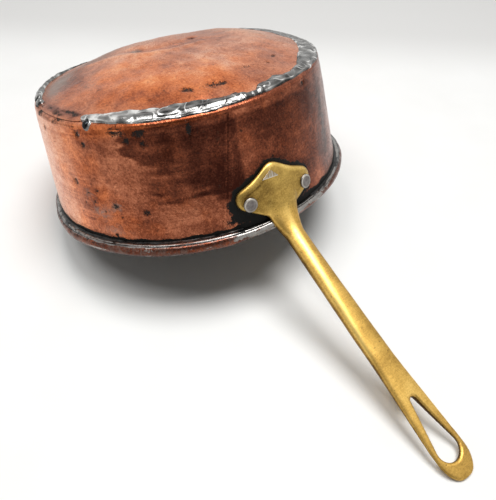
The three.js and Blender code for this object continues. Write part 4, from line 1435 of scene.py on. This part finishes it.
def polygon_radius(corners, turn):
    """Distance from the origin to the sides of a polygon round it."""
    corners = np.asarray(corners, float)
    least = np.full(turn.shape, np.inf)
    for (y0, z0), (y1, z1) in zip(corners, np.roll(corners, -1, axis=0)):
        side = np.hypot(y1 - y0, z1 - z0)
        normal_y, normal_z = (z1 - z0) / side, (y0 - y1) / side
        facing = normal_y * np.cos(turn) + normal_z * np.sin(turn)
        away = normal_y * y0 + normal_z * z0
        least = np.minimum(least, np.where(facing > 0.02, away / np.maximum(facing, 0.02), np.inf))
    return least


def rivet_profile(seat, head):
    """Section of a rivet, from the middle of its inner head to the middle of its outer one."""
    inside = -WALL_THICKNESS - FIT
    radius = RIVET_HEAD_RADIUS
    return np.array([
        [0.01, inside - RIVET_HEAD_HEIGHT],
        [radius * 0.6, inside - RIVET_HEAD_HEIGHT * 0.9],
        [radius * 0.9, inside - RIVET_HEAD_HEIGHT * 0.5],
        [radius, inside - 0.1],
        [radius, inside],
        [RIVET_SHANK_RADIUS, inside],
        [RIVET_SHANK_RADIUS, seat - 0.4],
        [radius + 0.15, seat - 0.4],
        [radius + 0.2, seat + head * 0.35],
        [radius, seat + head * 0.75],
        [radius - 0.35, seat + head],
        [radius - 0.9, seat + head],
        [radius - 1.3, seat + head * 0.78],
        [radius * 0.4, seat + head * 0.72],
        [0.01, seat + head * 0.74],
    ])


def set_in_wall(local, across, level):
    """Places in a rivet's own frame, moved to a length round the wall and a height."""
    spin = Matrix.Rotation(across / wall_radius(level), 3, "Z")
    turned = np.array(spin @ Matrix.Rotation(-atan(TAPER), 3, "Y"))
    return local @ turned.T + np.array(spin @ Vector((wall_radius(level), 0, level)))


def ring_shine(ring_r, turn, out, seat, head):
    """Painted highlight: a bright ring near a round head's edge, brightest on its lit side."""
    ring = ridge(ring_r[:, None], RIVET_HEAD_RADIUS - 0.5, 0.4) * (out > seat + head * 0.5)
    return ring * (0.35 + 0.65 * smooth_step(np.cos(turn - RING_LIT), -0.2, 0.8))


def worn_shine(y, z, out, seat):
    """Scratches down a worn head, and a painted highlight along its foot."""
    rays = 0.5 + 0.5 * np.sin(5.5 * y + 1.5 * np.sin(2.1 * y)) - 0.12 * (z + 1)
    foot = ridge(z + 0.07 * y, -1.25, 0.35)
    return np.clip(np.maximum(rays * 0.8, foot), 0, 1) * (out > seat - 0.4)


def build_rivet(name, node, place, material, worn=False):
    """A rivet with a dished or worn outer head, its shank, and a low inner head."""
    seat = PLATE_THICKNESS + (FIT if worn else 2 * FIT)
    head = WORN_HEAD_HEIGHT if worn else RIVET_HEAD_HEIGHT
    profile = rivet_profile(seat, head)
    lengths = lengths_along(profile)
    at = np.linspace(0, lengths[-1], RIVET_RINGS)
    ring_r, ring_out = (np.interp(at, lengths, profile[:, k]) for k in (0, 1))
    sides = np.linspace(0, FULL_TURN, RIVET_SIDES, endpoint=False)
    r, turn = np.meshgrid(ring_r, sides, indexing="ij")
    uneven = 0.05 * soft_field(81, 2.5, r * np.cos(turn), r * np.sin(turn)) * (r > 0.5)
    out = ring_out[:, None] + uneven
    shape = polygon_radius(WORN_HEAD, turn) if worn else lerp_round(ROUND_HEAD, turn)
    r = r * np.where(out > seat - 0.5, shape / RIVET_HEAD_RADIUS, 1)
    y, z = r * np.cos(turn), r * np.sin(turn)
    mesh = tube_mesh(name, set_in_wall(np.stack([out, y, z], -1), *place), order=1)
    shine = worn_shine(y, z, out, seat) if worn else ring_shine(ring_r, turn, out, seat, head)
    set_attributes(mesh, edge=shine, gilt=0.6 * (1 - shine) if worn else 0 * r)
    add_piece(name, mesh, [node], material)


# Camera in metres: where it stands, and how it is turned
CAMERA_PLACE = (0.18325, -0.15325, 0.28108)
CAMERA_HEADING = radians(141.74)
CAMERA_PITCH = radians(-48.656)
CAMERA_ROLL = radians(2.47)
CAMERA_SENSOR = 36
CAMERA_LENS = 37.44


def add_camera():
    camera = bpy.data.cameras.new("camera")
    camera.sensor_width = CAMERA_SENSOR
    camera.lens = CAMERA_LENS
    camera.clip_start = 0.01
    forward = Vector((
        cos(CAMERA_HEADING) * cos(CAMERA_PITCH),
        sin(CAMERA_HEADING) * cos(CAMERA_PITCH),
        sin(CAMERA_PITCH),
    ))
    turn = forward.to_track_quat("-Z", "Y").to_matrix().to_4x4()
    roll = Matrix.Rotation(CAMERA_ROLL, 4, "Z")
    holder = add_object("camera", camera)
    holder.matrix_world = Matrix.Translation(CAMERA_PLACE) @ turn @ roll
    bpy.context.scene.camera = holder


# Stage in metres and watts
FLOOR_HALF = 3.0
FAR_SHADE_GREY = (0.74, 0.735, 0.72)
FAR_SIDE = (-0.785, 0.62, 0)
FAR_STARTS = 0.25
FAR_ENDS = 0.36
LIGHTS = (
    ("key", (0.045, 0.215, 1.4), 0.75, 15.2),
    ("fill", (-0.15, -0.42, 1.15), 0.5, 4.4),
)
SKY_LIGHT = 0.145
DIM_SIDE = (0.6, -0.5, 0.62)
DIM_GREY = (0.2, 0.2, 0.2)
BACKDROP = (0.93, 0.93, 0.92)


def add_floor():
    mesh = bpy.data.meshes.new("floor")
    half = FLOOR_HALF
    corners = [(-half, -half, 0), (half, -half, 0), (half, half, 0), (-half, half, 0)]
    mesh.from_pydata(corners, [], [(0, 1, 2, 3)])
    floor = add_object("floor", mesh)
    s = Shader(bpy.data.materials.new("floor"))
    paper = s.noise(60, 3, 0.5)
    colour = s.ramp(paper, ((0.3, (0.91, 0.91, 0.89)), (0.7, (0.94, 0.94, 0.925))))
    place = s.node("TexCoord").outputs["Object"]
    # Painted shade: the floor greys on its far side, where the light falls off
    away = s.node("VectorMath", place, FAR_SIDE, operation="DOT_PRODUCT").outputs["Value"]
    colour = s.mix(s.band(away, FAR_STARTS, FAR_ENDS), colour, FAR_SHADE_GREY)
    normal = s.bump(s.noise(2), 0.01)
    mesh.materials.append(s.finish(colour, 0.7, normal, 0.0))


def add_light(name, place, size, power):
    light = bpy.data.lights.new(name, "AREA")
    light.shape = "DISK"
    light.size = size
    light.energy = power
    holder = add_object(name, light)
    holder.location = place
    holder.rotation_euler = (-Vector(place)).to_track_quat("-Z", "Y").to_euler()


def add_world():
    """A pale studio whose ceiling is dim on one side, with a plain soft light from all round."""
    s = Shader(bpy.data.worlds.new("studio"))
    direction = s.node("TexCoord").outputs["Generated"]
    facing = s.node("VectorMath", direction, DIM_SIDE, operation="DOT_PRODUCT").outputs["Value"]
    seen_colour = s.mix(s.band(facing, 0.76, 0.96), BACKDROP, DIM_GREY)
    path = s.node("LightPath").outputs
    seen = s.math("MAXIMUM", path["Is Camera Ray"], path["Is Glossy Ray"])
    seen = s.math("MAXIMUM", seen, path["Is Transmission Ray"])
    colour = s.mix(seen, (SKY_LIGHT,) * 3, seen_colour)
    background = s.node("Background", colour, 1.0)
    s.node("OutputWorld", background.outputs[0])
    bpy.context.scene.world = s.owner


add_camera()
add_floor()
for light in LIGHTS:
    add_light(*light)
add_world()
bpy.context.scene.view_settings.view_transform = "Standard"

wall_copper = copper_material("wall_copper", 0.27)
base_copper = copper_material("base_copper", 0.3)
solder = solder_material()
build_wall(wall_copper)
build_base(base_copper)
build_solder("solder_band", ["base_solder_seam"], BAND_ARC, 101, solder, SOLDER_COLUMNS)
build_solder("solder_blob", ["base_solder_lump"], BLOB_ARC, 151, solder, BLOB_COLUMNS, BLOB_SWELL)
build_rim_tin(tin_material())
build_wire(iron_material())
build_handle(brass_material())
rivet_metal = rivet_material()
build_rivet("left_rivet", "rivet_left", LEFT_RIVET, rivet_metal)
build_rivet("right_rivet", "rivet_right", RIGHT_RIVET, rivet_metal)
build_rivet("top_rivet", "rivet_top", TOP_RIVET, rivet_metal, worn=True)
